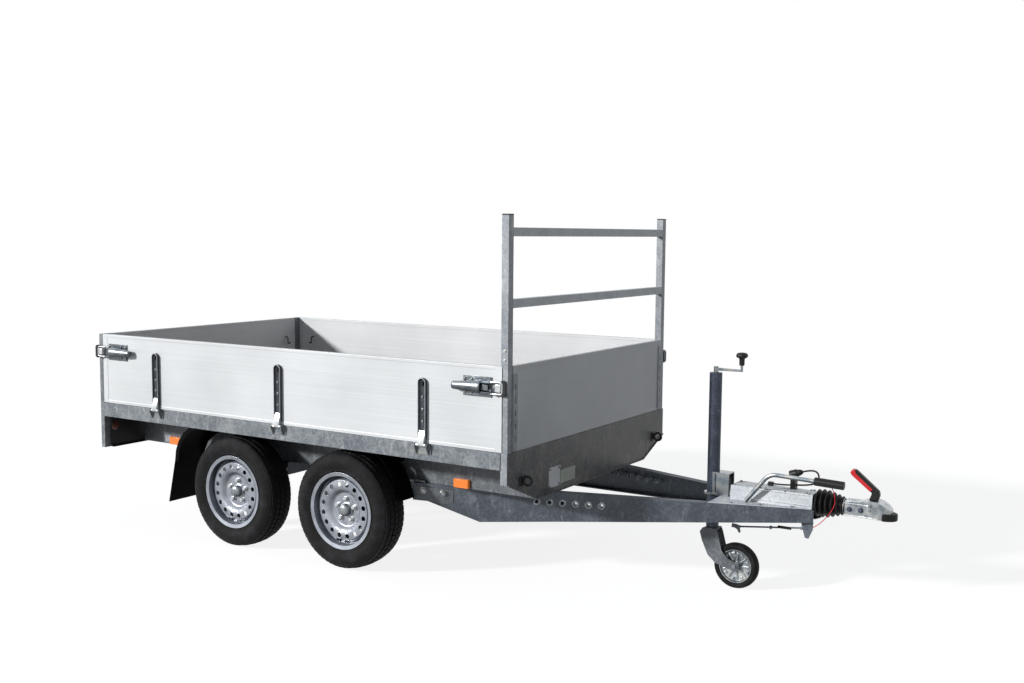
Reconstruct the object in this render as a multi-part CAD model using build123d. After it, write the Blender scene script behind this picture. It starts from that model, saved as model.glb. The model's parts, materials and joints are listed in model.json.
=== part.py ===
"""Twin-axle dropside utility trailer with a front ladder rack, V drawbar and jockey wheel.

Frame: millimetres, +Z up, +X towards the coupling, origin on the ground at half the overall length.
Every function measures x from the front wall's front face; the whole is shifted once, at the export.
"""

from build123d import *
import os
from math import atan, cos, degrees, pi, radians, sin, tan

# ---------------------------------------------------------------- driving dimensions
bed_length = 2780          # front wall's front face to tailgate's rear face
bed_width = 1660           # over the side panels
deck_top = 689
deck_thickness = 18
panel_thickness = 25
panel_bottom = 697
panel_top = 1090
panel_gap = 2              # between a panel and a post beside it
panel_wall = 2.5           # skin of the aluminium hollow profile's end lips
end_lip = 10

rail_bottom = 615
rail_top = 695
rail_sheet = 3
rail_lip = 28
rail_return = 10

beam_face = 574            # half width over the two main beams
beam_bottom = 441
beam_height = 160
beam_flange = 50
beam_sheet = 4

post_size = 40
post_wall = 3
rack_top = 1770
rack_foot = 548
rung_height = 40
rung_bottoms = (rack_top - 420, rack_top - 100)
post_inset = 4             # post's side face behind the panel's outer face
cap_height = 6
flange_width = 36          # strip that ties the front wall to each rack post
flange_sheet = 3
flange_slots = (740, 800, 860, 920, 980)

rear_post_x = 30
rear_post_y = 60
rear_leg_bottom = 432
lamp_board_height = 116
lamp_board_half = 725
lamp_board_ahead = 34       # lamp board's rear face ahead of the tailgate's rear face
lamp_board_flange = 30
lamp_y = 600

front_panel_chin = beam_bottom
front_panel_lip = 7
sheet = 3

axle_x = (-987, -1740)     # front axle, rear axle
wheel_centre_y = 747.5
tyre_radius = 298
tyre_width = 174
rim_seat_radius = 178
rim_flange = 17
rim_radius = rim_seat_radius + rim_flange
rim_half_width = 76.5
wheel_offset = 24          # mounting face outboard of the wheel's middle
vent_count = 16
vent_circle = rim_seat_radius - 46
vent_hole = 12
bolt_circle = 56
bolt_count = 5
drum_radius = 115
drum_depth = 62
stub_radius = 24
fit_gap = 0.3

tube_size = 70             # square torsion axle tube
tube_wall = 6
swing_reach = 150          # axle tube ahead of the wheel's centre
swing_thickness = 48
swing_face = 592           # inner face of the swing arm

guard_width = 198
guard_outer = 818
guard_sheet = 3
guard_crown = 642
guard_corner_drop = 222
guard_flap_end = 462
guard_flap_reach = 495     # along the trailer, from the nearer axle
guard_corner_reach = 440
guard_crown_reach = 212
guard_lip = 25
guard_front_width = 120
guard_front_reach = 314
guard_front_turn = 78      # degrees the front end curls down round the tyre
guard_bends = 6

coupling_reach = 1519      # front wall to the tip of the coupling's nose
ball_x = coupling_reach - 74
housing_front = ball_x - 295
housing_rear = housing_front - 388
housing_foot = housing_rear - 62
arm_front = housing_front + 10

arm_spread = 404           # drawbar arm's outer face from the middle, at the front wall
arm_nose = 58.32           # drawbar arm's outer face from the middle, at its front end
arm_taper = (arm_spread - arm_nose) / arm_front
arm_rear = -695
arm_top = beam_bottom      # the arms bear on the main beams' underside
arm_deep_bottom = 296      # bottom edge under the front wall
arm_tail = ((-360, 266), (-620, 352), (arm_rear, 354))    # bottom edge behind the front wall
arm_front_depth = 58
arm_sheet = 5
arm_flange = 46
arm_hole = 12
arm_hole_count = 6
arm_hole_pitch = 61
arm_hole_first = -83
arm_hole_height = 390

coupling_height = 467
shaft_radius = 25
ball_radius = 25

jockey_x = housing_rear - 112
jockey_tube_radius = 30
jockey_tube_wall = 3
jockey_tube_top = 1030
jockey_tube_bottom = 286
jockey_leg_radius = 26.9
jockey_leg_rise = 300      # inner leg's top over the outer tube's lower end
jockey_trail = 129
jockey_wheel_radius = 110
jockey_wheel_width = 50

strap_x = (-470, -1388, -2302)
tailgate_strap_y = (-430, 0, 430)
strap_width = 62
strap_proud = 18
strap_top = 1008
strap_sheet = 4
foot_sheet = 4
pin_out = 15               # hinge pin outside the panel's outer face
pin_height = 690
pin_radius = 5
pin_clearance = 0.05
barrel_radius = 9

latch_height = 992
latch_plate_sheet = 3
latch_handle_radius = 22
latch_handle_length = 168
latch_setback = 85         # latch plate's end from the panel's corner

side = bed_width / 2
panel_inner = side - panel_thickness
rear_face = -bed_length
latch_proud = latch_plate_sheet + 2 * latch_handle_radius
overall_length = bed_length + latch_proud + coupling_reach
front_face_x = overall_length / 2 - coupling_reach
nodes = {}


# ---------------------------------------------------------------- shared shapes
def block(x0, x1, y0, y1, z0, z1):
    return Pos((x0 + x1) / 2, (y0 + y1) / 2, (z0 + z1) / 2) * Box(x1 - x0, y1 - y0, z1 - z0)


def along_y(points, y0, y1, rounding=0):
    """A plate drawn in X and Z, from y0 to y1."""
    face = make_face(Polyline(*points, close=True))
    if rounding:
        face = fillet(face.vertices(), rounding)
    return extrude(Plane.XZ.offset(-y1) * face, amount=y1 - y0)


def along_x(points, x0, x1, rounding=0):
    """A plate or section drawn in Y and Z, from x0 to x1."""
    face = make_face(Polyline(*points, close=True))
    if rounding:
        face = fillet(face.vertices(), rounding)
    return extrude(Plane.YZ.offset(x0) * face, amount=x1 - x0)


def along_z(points, z0, z1, rounding=0):
    """A plate drawn in X and Y, from z0 to z1."""
    face = make_face(Polyline(*points, close=True))
    if rounding:
        face = fillet(face.vertices(), rounding)
    return extrude(Plane.XY.offset(z0) * face, amount=z1 - z0)


def rod_x(radius, x0, x1, y, z):
    return Pos((x0 + x1) / 2, y, z) * Rot(0, 90, 0) * Cylinder(radius, x1 - x0)


def rod_y(radius, y0, y1, x, z):
    return Pos(x, (y0 + y1) / 2, z) * Rot(90, 0, 0) * Cylinder(radius, y1 - y0)


def rod_z(radius, z0, z1, x, y):
    return Pos(x, y, (z0 + z1) / 2) * Cylinder(radius, z1 - z0)


def other_side(shape):
    return mirror(shape, about=Plane.XZ)


def both_sides(shape):
    return Compound([*shape.solids(), *other_side(shape).solids()])


def channel(outer, web, flange, z0, z1, sheet_size, x0, x1):
    """A C section along X: web at y = outer, flanges towards the middle of the trailer."""
    inner = outer - flange
    points = [
        (outer, z0), (outer, z1), (inner, z1), (inner, z1 - sheet_size),
        (outer - web, z1 - sheet_size), (outer - web, z0 + sheet_size),
        (inner, z0 + sheet_size), (inner, z0),
    ]
    return along_x(points, x0, x1)


def strip(points, thickness):
    """The outline of a bent sheet: the given line, and that line set over to its right by the thickness."""
    spots = [Vector(*point) for point in points]
    normals = []
    for start, end in zip(spots, spots[1:]):
        run = (end - start).normalized()
        normals.append(Vector(run.Y, -run.X))
    set_over = [spots[0] + normals[0] * thickness]
    for spot, before, after in zip(spots[1:], normals, normals[1:]):
        set_over.append(spot + (before + after) * (thickness / (1 + before.dot(after))))
    set_over.append(spots[-1] + normals[-1] * thickness)
    return [(spot.X, spot.Y) for spot in [*spots, *reversed(set_over)]]


# ---------------------------------------------------------------- chassis
beam_top = beam_bottom + beam_height
deck_bottom = deck_top - deck_thickness
cross_x = (-110, -470, -860, -1250, -1500, -1990, -2302, -2640)
cross_width = 40


def main_beams():
    beam = channel(beam_face, beam_sheet, beam_flange, beam_bottom, beam_top, beam_sheet,
                   rear_face + lamp_board_ahead + lamp_board_flange, -sheet)
    return both_sides(beam)


def cross_members():
    """Folded cross bearers: deep between the beams, shallow where they pass over the wheels."""
    shallow = guard_crown
    reach = side - rail_sheet
    slope_foot = beam_face
    slope_head = guard_outer - guard_width - 8
    outline = [
        (-reach, deck_bottom), (reach, deck_bottom), (reach, shallow), (slope_head, shallow),
        (slope_foot, beam_top), (-slope_foot, beam_top), (-slope_head, shallow), (-reach, shallow),
    ]
    core = [
        (-reach - 1, deck_bottom - sheet), (reach + 1, deck_bottom - sheet), (reach + 1, shallow + sheet),
        (slope_head - sheet, shallow + sheet), (slope_foot - sheet, beam_top + sheet),
        (sheet - slope_foot, beam_top + sheet), (sheet - slope_head, shallow + sheet),
        (-reach - 1, shallow + sheet),
    ]
    solids = []
    for x in cross_x:
        bearer = along_x(outline, x - cross_width / 2, x + cross_width / 2)
        bearer -= along_x(core, x - cross_width / 2 + sheet, x + cross_width / 2)
        solids += bearer.solids()
    return Compound(solids)


def side_rails():
    y0, y1 = side - rail_sheet, side
    points = [
        (y1, rail_bottom), (y1, rail_top), (side - rail_lip, rail_top),
        (side - rail_lip, rail_top - rail_sheet), (y0, rail_top - rail_sheet),
        (y0, rail_bottom + rail_sheet), (side - rail_return, rail_bottom + rail_sheet),
        (side - rail_return, rail_bottom),
    ]
    return both_sides(along_x(points, rear_face + rear_post_x, -post_size))


def rear_sill():
    half = side - rear_post_y
    x0 = rear_face
    points = [
        (x0, rail_bottom), (x0, rail_top), (x0 + rail_lip, rail_top),
        (x0 + rail_lip, rail_top - rail_sheet), (x0 + rail_sheet, rail_top - rail_sheet),
        (x0 + rail_sheet, rail_bottom + rail_sheet), (x0 + rail_lip, rail_bottom + rail_sheet),
        (x0 + rail_lip, rail_bottom),
    ]
    return along_y(points, -half, half)


def deck_panel():
    x0, x1 = rear_face + rail_lip + 4, -panel_thickness - 1
    half = side - rail_sheet - 2
    deck = block(x0, x1, -half, half, deck_bottom, deck_top)
    notch = block(-post_size - 1, 0, side - post_inset - post_size - 1, side, deck_bottom - 1, deck_top + 1)
    return deck - notch - other_side(notch)


def rear_posts():
    z1 = panel_top
    y0, y1 = side - rear_post_y, side
    post = block(rear_face, rear_face + rear_post_x, y0, y1, rear_leg_bottom, z1)
    post -= block(rear_face - 1, rear_face + rear_post_x - rail_sheet, y0 + rail_sheet,
                  y1 - rail_sheet, rear_leg_bottom - 1, rail_bottom)
    post += keeper(rear_latch_place, 0, turn=-1)
    post += keeper(at_rear * Pos(tailgate_latch_edge, 0, 0), 0)
    return both_sides(post)


def lamp_board():
    z0 = rear_leg_bottom
    z1 = z0 + lamp_board_height
    x0 = rear_face + lamp_board_ahead
    board = block(x0, x0 + sheet, -lamp_board_half, lamp_board_half, z0, z1)
    board += block(x0, x0 + lamp_board_flange, -lamp_board_half, lamp_board_half, z1 - sheet, z1)
    board += block(x0, x0 + 18, -lamp_board_half, lamp_board_half, z0, z0 + sheet)
    return board


def rear_lamps():
    x1 = rear_face + lamp_board_ahead
    solids = []
    for y in (-lamp_y, lamp_y):
        lamp = block(x1 - 32, x1, y - 105, y + 105, rear_leg_bottom + 12, rear_leg_bottom + 104)
        lamp = fillet(lamp.edges().filter_by(Axis.X), 14)
        solids += lamp.solids()
    return Compound(solids)


marker_x = (-420, -2439)


def side_markers():
    """Orange marker lamps on the main beams' outer faces."""
    solids = []
    for x in marker_x:
        marker = block(x - 43, x + 43, beam_face, beam_face + 18, beam_bottom + 2, beam_bottom + 46)
        solids += fillet(marker.edges().group_by(Axis.Y)[-1], 4).solids()
    return both_sides(Compound(solids))


def lashing_rings():
    """Ring plates folded out of the front panel's corners."""
    ring = Pos(14, side - 130, rack_foot + 8) * Rot(0, 90, 0) * Torus(24, 5)
    ring += block(0, 12, side - 142, side - 118, rack_foot + 20, rack_foot + 44)
    return both_sides(ring)


def front_panel():
    z0, z1 = front_panel_chin, panel_bottom - 2
    outline = [
        (-side, z1), (side, z1), (side, rack_foot), (beam_face, z0), (-beam_face, z0), (-side, rack_foot),
    ]
    panel = along_x(outline, -sheet, 0)
    lip = strip(outline[2:], sheet)
    return panel + along_x(lip, -sheet, front_panel_lip)


def front_wall():
    half = side - post_size - post_inset
    return block(-panel_thickness, 0, -half, half, panel_bottom, panel_top)


def rack_posts():
    y1 = side - post_inset
    z1 = rack_top - cap_height
    post = block(-post_size, -sheet, y1 - post_size, y1, rack_foot, z1)
    post -= block(-post_size + post_wall, -sheet - post_wall, y1 - post_size + post_wall,
                  y1 - post_wall, rack_foot - 1, z1 + 1)
    post += keeper(front_latch_place, -post_inset)
    inner_face = y1 - post_size
    strip_plate = block(
        0, flange_sheet, inner_face - flange_width, inner_face, panel_bottom + 3, panel_top - 36
    )
    for z in flange_slots:
        strip_plate -= block(-1, flange_sheet + 1, inner_face - 21, inner_face - 15, z, z + 26)
    return both_sides(solids_of([post, strip_plate]))


def rack_caps():
    y1 = side - post_inset
    cap = block(-post_size, -sheet, y1 - post_size, y1, rack_top - cap_height, rack_top)
    cap = fillet(cap.edges().group_by(Axis.Z)[-1], 2)
    return both_sides(cap)


def rack_rungs():
    half = side - post_inset - post_size
    solids = []
    for z in rung_bottoms:
        rung = block(-post_size, -sheet, -half, half, z, z + rung_height)
        rung -= block(-post_size + post_wall, -sheet - post_wall, -half - 1, half + 1,
                      z + post_wall, z + rung_height - post_wall)
        solids += rung.solids()
    return Compound(solids)


# ---------------------------------------------------------------- drawbar
arm_angle = degrees(atan(arm_taper))
arm_scale = 1 / cos(radians(arm_angle))


def arm_local(x):
    return x * arm_scale


def drawbar_arms():
    """Folded C arms, deepest under the front wall, tapering to the overrun unit and to the rear."""
    lower_edge = [(arm_front, arm_top - arm_front_depth), (0, arm_deep_bottom), *arm_tail]
    outline = [(arm_local(x), z) for x, z in [(arm_rear, arm_top), (arm_front, arm_top), *lower_edge]]
    arm = along_y(outline, -arm_flange, 0)
    past = 20
    roof = [(arm_rear - past, arm_top - arm_sheet), (arm_front + past, arm_top - arm_sheet)]
    front, *middle, rear = lower_edge
    floor = [(front[0] + past, front[1]), *middle, (rear[0] - past, rear[1])]
    hollow = [(arm_local(x), z) for x, z in [*roof, *[(x, z + arm_sheet) for x, z in floor]]]
    arm -= along_y(hollow, -arm_flange - 1, -arm_sheet)
    for index in range(arm_hole_count):
        x = arm_local(arm_hole_first + index * arm_hole_pitch)
        arm -= rod_y(arm_hole, -arm_sheet - 2, 2, x, arm_hole_height)
    arm = Pos(0, arm_spread, 0) * Rot(0, 0, -arm_angle) * arm
    return both_sides(arm)


def arm_face(x):
    """Half width over the drawbar arms at x."""
    return arm_spread - arm_taper * x


def arm_underside(x):
    """Height of the arm's bottom edge ahead of the front wall."""
    return arm_deep_bottom + (arm_top - arm_front_depth - arm_deep_bottom) * x / arm_front


housing_top = 510
housing_sheet = 4


def overrun_housing():
    """Pressed housing: a tapered box over the arms, on a foot plate that spans their top flanges."""
    base = arm_top + housing_sheet

    def section(x, half_foot, half_top, inset, z0):
        points = [
            (inset - half_foot, z0), (half_foot - inset, z0),
            (half_top - inset, housing_top - inset), (inset - half_top, housing_top - inset),
        ]
        return Plane.YZ.offset(x) * make_face(Polyline(*points, close=True))

    body = loft([section(housing_rear, 70, 60, 0, base), section(housing_front, 54, 44, 0, base)])
    body -= loft([
        section(housing_rear - 5, 70, 60, housing_sheet, base - 2),
        section(housing_front + 5, 54, 44, housing_sheet, base - 2),
    ])
    rear_half, front_half = arm_face(housing_foot) - 4, arm_face(housing_front) - 4
    foot_points = [
        (housing_foot, -rear_half), (housing_front, -front_half), (housing_front, front_half),
        (housing_foot, rear_half),
    ]
    foot = along_z(foot_points, arm_top, base)
    window = [
        (housing_rear + 5, -50), (housing_front - 30, -36), (housing_front - 30, 36), (housing_rear + 5, 50),
    ]
    foot -= along_z(window, arm_top - 1, base + 1)
    return body + foot


gaiter_folds = (
    (0.3, 29), (11, 29), (12, 58), (22, 64), (32, 62), (42, 50), (54, 49), (66, 60), (78, 62), (88, 56),
    (95, 43), (101, 40), (108, 47), (118, 46), (125, 35), (130, 34), (134, 37), (140, 31),
)


def drawbar_gaiter():
    """Ribbed rubber sleeve over the sliding shaft: each fold's distance from the housing, and its radius."""
    points = [(housing_front + ahead, radius) for ahead, radius in gaiter_folds]
    bore = shaft_radius + fit_gap
    outline = [(points[0][0], bore), *points, (points[-1][0], bore)]
    face = make_face(Polyline(*outline, close=True))
    sleeve = revolve(face, Axis.X)
    return Pos(0, 0, coupling_height) * sleeve


ball_z = coupling_height - 18
head_half = 42             # half width of the coupling head over the ball
nose_half = 46


def plan_outline(half_plan):
    """Outline seen from above: the given side, and its mirror image."""
    points = [(ball_x + ahead, y) for ahead, y in half_plan]
    return [*points, *[(x, -y) for x, y in reversed(points) if y > 0]]


def side_outline(points):
    """Outline seen from the side, given from the ball's centre."""
    return [(ball_x + ahead, ball_z + up) for ahead, up in points]


def coupling_head():
    """Drawbar shaft with the pressed coupling head over the hitch ball."""
    head_rear = ball_x - 160
    shaft = rod_x(shaft_radius, housing_front + 2, ball_x - 45, 0, coupling_height)
    side_view = side_outline([
        (-153, -8), (-153, 50), (-88, 51), (-62, 61), (-8, 61), (30, 45), (50, 25), (54, 2), (30, -17),
        (-60, -17),
    ])
    rear_half = 33
    plan = plan_outline([
        (head_rear - ball_x, rear_half), (-75, 34), (-35, head_half), (15, head_half), (47, 26), (55, 0),
    ])
    head = along_y(side_view, -2 * nose_half, 2 * nose_half) & along_z(plan, ball_z - 60, ball_z + 150)
    cup = Pos(ball_x, 0, ball_z) * Sphere(ball_radius + fit_gap)
    cup += rod_z(ball_radius + fit_gap, ball_z - 60, ball_z, ball_x, 0)
    head -= cup
    return head + shaft


def coupling_nose():
    """Soft bumper around the front of the coupling head."""
    tip = coupling_reach - ball_x
    outer = plan_outline([(14, nose_half), (24, nose_half), (55, 34), (tip, 12)])
    nose = along_z(outer, ball_z - 21, ball_z + 14)
    inner_half = head_half + fit_gap
    inner = plan_outline([(-45, inner_half), (15, inner_half), (47.5, 26 + fit_gap), (55.5, 0)])
    nose -= along_z(inner, ball_z - 60, ball_z + 60)
    return nose


def coupling_handle():
    """Lever handle standing over the head: a short stem, then a grip that leans back."""
    outline = side_outline([
        (-52, 61.3), (-40, 94), (-128, 162), (-138, 176), (-130, 191), (-113, 191), (-9, 105), (-6, 86),
        (-13, 61.3),
    ])
    return along_y(outline, -15, 15)


lever_y = -92              # handbrake lever's line beside the middle
lever_radius = 10
lever_knee = (housing_rear + 198, lever_y, housing_top + 81)
lever_end = (housing_front + 154, lever_y, housing_top + 68)
grip_radius = 19
grip_length = 134


def handbrake_lever():
    foot = (housing_rear + 86, lever_y, arm_top + 10)
    path = FilletPolyline(foot, lever_knee, lever_along(grip_length - 8), radius=70)
    return sweep(Plane(path @ 0, z_dir=path % 0) * Circle(lever_radius), path)


def lever_along(back):
    """Point on the lever's upper run, at a distance back from its end."""
    run = (Vector(*lever_knee) - Vector(*lever_end)).normalized()
    return Vector(*lever_end) + run * back


def handbrake_grip():
    start = lever_along(grip_length)
    direction = Vector(*lever_end) - start
    lying = Plane(origin=start, z_dir=direction)
    grip = lying * Pos(0, 0, grip_length / 2) * Cylinder(grip_radius, grip_length)
    grip -= lying * Cylinder(lever_radius + fit_gap, 20)
    return grip


linkage_y = -45            # brake rod's line beside the middle
rod_radius = 4
rod_rear = (housing_rear + 28, 311)
rod_front = (housing_front - 36, 350)


def brake_linkage():
    """Brake rod under the overrun housing, from the lever's rocker plate back to its spring hook."""
    y0, y1 = linkage_y - rod_radius, linkage_y + rod_radius
    start, end = (Vector(x, linkage_y, z) for x, z in (rod_rear, rod_front))
    rod = Plane(origin=(start + end) / 2, z_dir=end - start) * Cylinder(rod_radius, (end - start).length)
    hook_points = [(-22, 12), (4, 10), (14, 2), (20, -24), (14, -30), (4, -12), (-10, -6), (-24, -6)]
    hook = along_y([(rod_rear[0] + ahead, rod_rear[1] + up) for ahead, up in hook_points], y0, y1)
    rear_top, front_top = housing_front - 50, housing_front + 6
    rocker = along_y(
        [
            (rear_top, arm_underside(rear_top) - fit_gap), (front_top, arm_underside(front_top) - fit_gap),
            (front_top - 2, 346), (front_top - 20, 304), (front_top - 36, 307), (rear_top + 8, 348),
        ],
        y0, y1,
    )
    return rod + hook + rocker


clamp_half = 36
clamp_sheet = 5
clamp_top = housing_top + 45


def jockey_clamp():
    """Folded bracket on the housing's foot: a saddle round the tube, two cheeks and a cap."""
    bore = rod_z(jockey_tube_radius + fit_gap, arm_top - 1, clamp_top + 1, jockey_x, 0)
    base = arm_top + housing_sheet
    front = housing_rear - 20
    saddle_radius = jockey_tube_radius + clamp_sheet + fit_gap
    bracket = rod_z(saddle_radius, base, clamp_top, jockey_x, 0)
    bracket &= block(jockey_x + 8, front, -clamp_half, clamp_half, base, clamp_top)
    for y0, y1 in ((-clamp_half, clamp_sheet - clamp_half), (clamp_half - clamp_sheet, clamp_half)):
        bracket += block(jockey_x + 28, front, y0, y1, base, clamp_top)
    bracket += block(jockey_x + 8, front, -clamp_half, clamp_half, clamp_top - clamp_sheet, clamp_top)
    bracket += block(jockey_x + 8, front, -clamp_half, clamp_half, base, base + clamp_sheet)
    collar = rod_z(saddle_radius + 8, base, base + 9, jockey_x, 0)
    return bracket + collar - bore


# ---------------------------------------------------------------- jockey wheel
def jockey_tube():
    height = (jockey_tube_bottom, jockey_tube_top)
    tube = rod_z(jockey_tube_radius, *height, jockey_x, 0)
    tube -= rod_z(jockey_tube_radius - jockey_tube_wall, height[0] - 1, height[1] - 6, jockey_x, 0)
    return tube


crank_reach = 128


def jockey_crank():
    top = jockey_tube_top
    hub = rod_z(11, top, top + 30, jockey_x, 0)
    knob_x = jockey_x + crank_reach
    arm = along_y([(jockey_x, top + 10), (knob_x, top + 12), (knob_x, top + 22), (jockey_x, top + 24)], -8, 8)
    pin = rod_z(6, top + 12, top + 44, knob_x, 0)
    return hub + arm + pin


def jockey_knob():
    z0 = jockey_tube_top + 44
    profile = [(0, z0), (12, z0), (13, z0 + 34), (26, z0 + 40), (28, z0 + 54), (20, z0 + 62), (0, z0 + 62)]
    face = Plane.XZ * make_face(Polyline(*profile, close=True))
    knob = revolve(face, Axis.Z)
    return Pos(jockey_x + crank_reach, 0, 0) * knob


def jockey_leg():
    top = jockey_tube_bottom + jockey_leg_rise
    leg = rod_z(jockey_leg_radius, jockey_tube_bottom - 6, top, jockey_x, 0)
    leg -= rod_z(jockey_leg_radius - 3, jockey_tube_bottom + 6, top + 1, jockey_x, 0)
    return leg


def jockey_fork():
    """Pressed fork: a crown under the leg and two cheeks that lead forward to the wheel's axle."""
    top = jockey_tube_bottom - 6
    axle = (jockey_x + jockey_trail, jockey_wheel_radius)
    gap = jockey_wheel_width / 2 + 6
    cheek = [
        (jockey_x - 50, top - 22), (jockey_x - 34, top), (jockey_x + 34, top), (jockey_x + 42, top - 20),
        (jockey_x + 64, top - 102), (jockey_x + 98, top - 136), (axle[0] + 18, axle[1] + 14),
        (axle[0] + 20, axle[1] - 12), (axle[0] - 2, axle[1] - 22), (jockey_x + 34, axle[1] + 4),
        (jockey_x - 6, axle[1] + 38), (jockey_x - 38, top - 64),
    ]
    fork = along_y(cheek, gap, gap + 4, 6)
    fork += along_y(cheek, -gap - 4, -gap, 6)
    fork += block(jockey_x - 30, jockey_x + 34, -gap - 4, gap + 4, top - 5, top)
    fork += rod_y(6, -gap - 12, gap + 12, *axle)
    return fork


def jockey_rim():
    axle = (jockey_x + jockey_trail, jockey_wheel_radius)
    half = jockey_wheel_width / 2
    profile = [(6 + fit_gap, -half), (20, -half), (20, -6), (74, -14), (74, -half + 3), (80, -half + 3),
               (80, half - 3), (74, half - 3), (74, -8), (20, 0), (20, half), (6 + fit_gap, half)]
    rim = revolve(make_face(Polyline(*profile, close=True)), Axis.Y)
    return Pos(axle[0], 0, axle[1]) * rim


def jockey_tyre():
    half = jockey_wheel_width / 2
    profile = [(80 + fit_gap, -half + 3), (96, -half), (107, -half + 8), (jockey_wheel_radius, 0),
               (107, half - 8), (96, half), (80 + fit_gap, half - 3)]
    tyre = revolve(make_face(Polyline(*profile, close=True)), Axis.Y)
    return Pos(jockey_x + jockey_trail, 0, jockey_wheel_radius) * tyre


# ---------------------------------------------------------------- axles and wheels
tube_top = beam_bottom
tube_height = tube_top - tube_size / 2
hub_face = wheel_centre_y + wheel_offset


def axle_tubes():
    solids = []
    for x in axle_x:
        centre = x + swing_reach
        half, reach = tube_size / 2, swing_face - fit_gap
        tube = block(centre - half, centre + half, -reach, reach, tube_top - tube_size, tube_top)
        half -= tube_wall
        tube -= block(centre - half, centre + half, -swing_face, swing_face,
                      tube_top - tube_size + tube_wall, tube_top - tube_wall)
        solids += tube.solids()
    return Compound(solids)


def swing_arms():
    solids = []
    for x in axle_x:
        pivot = (x + swing_reach, tube_height)
        y0, y1 = swing_face, swing_face + swing_thickness
        web = [
            (pivot[0] + 8, pivot[1] + 42), (pivot[0] + 40, pivot[1] + 10), (pivot[0] + 30, pivot[1] - 36),
            (x + 10, tyre_radius - 34), (x - 30, tyre_radius - 22), (x - 28, tyre_radius + 26),
            (pivot[0] - 40, pivot[1] + 30),
        ]
        arm = along_y(web, y0, y1, 9)
        stub_end = hub_face - drum_depth - 12 - fit_gap
        arm += rod_y(stub_radius, y1 - 1, stub_end, x, tyre_radius)
        back_plate = rod_y(drum_radius + 4, stub_end - 5, stub_end, x, tyre_radius)
        arm += back_plate
        solids += arm.solids()
    return both_sides(Compound(solids))


def wheel_place(x, y_sign, shape):
    """A wheel part drawn with its outboard side at -Y is set at an axle, turned for the +Y side."""
    turned = shape if y_sign < 0 else mirror(shape, about=Plane.XZ)
    return Pos(x, y_sign * wheel_centre_y, tyre_radius) * turned


def tyre_shape():
    half = tyre_width / 2
    bead = rim_half_width - 8
    seat = rim_seat_radius + fit_gap
    close_low = Line((seat, -bead), (rim_radius - 2, -bead))
    bulge = rim_radius + 48
    shoulder, shoulder_half = tyre_radius - 12, half - 17
    wall_low = ThreePointArc((rim_radius - 2, -bead), (bulge, -half), (shoulder, -shoulder_half))
    tread = ThreePointArc((shoulder, -shoulder_half), (tyre_radius, 0), (shoulder, shoulder_half))
    wall_high = ThreePointArc((shoulder, shoulder_half), (bulge, half), (rim_radius - 2, bead))
    close_high = Line((rim_radius - 2, bead), (seat, bead))
    inner = Line((seat, bead), (seat, -bead))
    face = make_face([close_low, wall_low, tread, wall_high, close_high, inner])
    return revolve(face, Axis.Y)


def rim_shape():
    """Pressed steel wheel: a drop-centre rim with a dished disc, its vents, bolt holes and centre bore."""
    half = rim_half_width
    barrel = [
        (rim_radius, -half), (rim_radius, -half + 4), (rim_seat_radius, -half + 8), (rim_seat_radius, -30),
        (rim_seat_radius - 14, -20), (rim_seat_radius - 14, 20), (rim_seat_radius, 30),
        (rim_seat_radius, half - 8), (rim_radius, half - 4), (rim_radius, half),
        (rim_seat_radius - 2, half - 3), (rim_seat_radius - 5, 34), (rim_seat_radius - 18, 22),
        (rim_seat_radius - 18, -24), (rim_seat_radius - 5, -34), (rim_seat_radius - 2, -half + 3),
    ]
    rim = revolve(make_face(Polyline(*barrel, close=True)), Axis.Y)
    pad = -wheel_offset
    edge, crown = rim_seat_radius - 22, vent_circle - 8
    disc = [
        (edge + 4, -24), (edge + 5, -36), (edge - 4, -53), (crown, -55), (106, -51), (96, -43), (88, pad - 8),
        (80, pad - 4), (33, pad - 4), (33, pad), (79, pad), (86, pad - 4), (95, -39), (104, -47),
        (crown, -51),
        (edge - 6, -49), (edge, -34), (edge, -24),
    ]
    rim += revolve(make_face(Polyline(*disc, close=True)), Axis.Y)
    for index in range(vent_count):
        angle = 2 * pi * (index + 0.5) / vent_count
        rim -= rod_y(vent_hole, -half, -30, vent_circle * cos(angle), vent_circle * sin(angle))
    for index in range(bolt_count):
        angle = 2 * pi * index / bolt_count + pi / 2
        rim -= rod_y(7, -half, 0, bolt_circle * cos(angle), bolt_circle * sin(angle))
    return rim


def hub_shape():
    """Brake drum with its hub, spigot and cap, and the five wheel bolts."""
    pad = -wheel_offset
    back = pad + drum_depth + 12
    profile = [
        (0, pad - 36), (22, pad - 36), (28, pad - 30), (30, pad), (75, pad), (78, pad + 10),
        (drum_radius, pad + 14), (drum_radius, back), (stub_radius + 4, back), (stub_radius + 4, back - 8),
        (0, back - 8),
    ]
    hub = revolve(make_face(Polyline(*profile, close=True)), Axis.Y)
    for index in range(bolt_count):
        angle = 2 * pi * index / bolt_count + pi / 2
        x, z = bolt_circle * cos(angle), bolt_circle * sin(angle)
        hub += rod_y(6.5, pad - 8, pad + 4, x, z)
        hub += Pos(x, pad - 9.5, z) * Rot(90, 0, 0) * extrude(RegularPolygon(9.5, 6), 5, both=True)
    return hub


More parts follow.
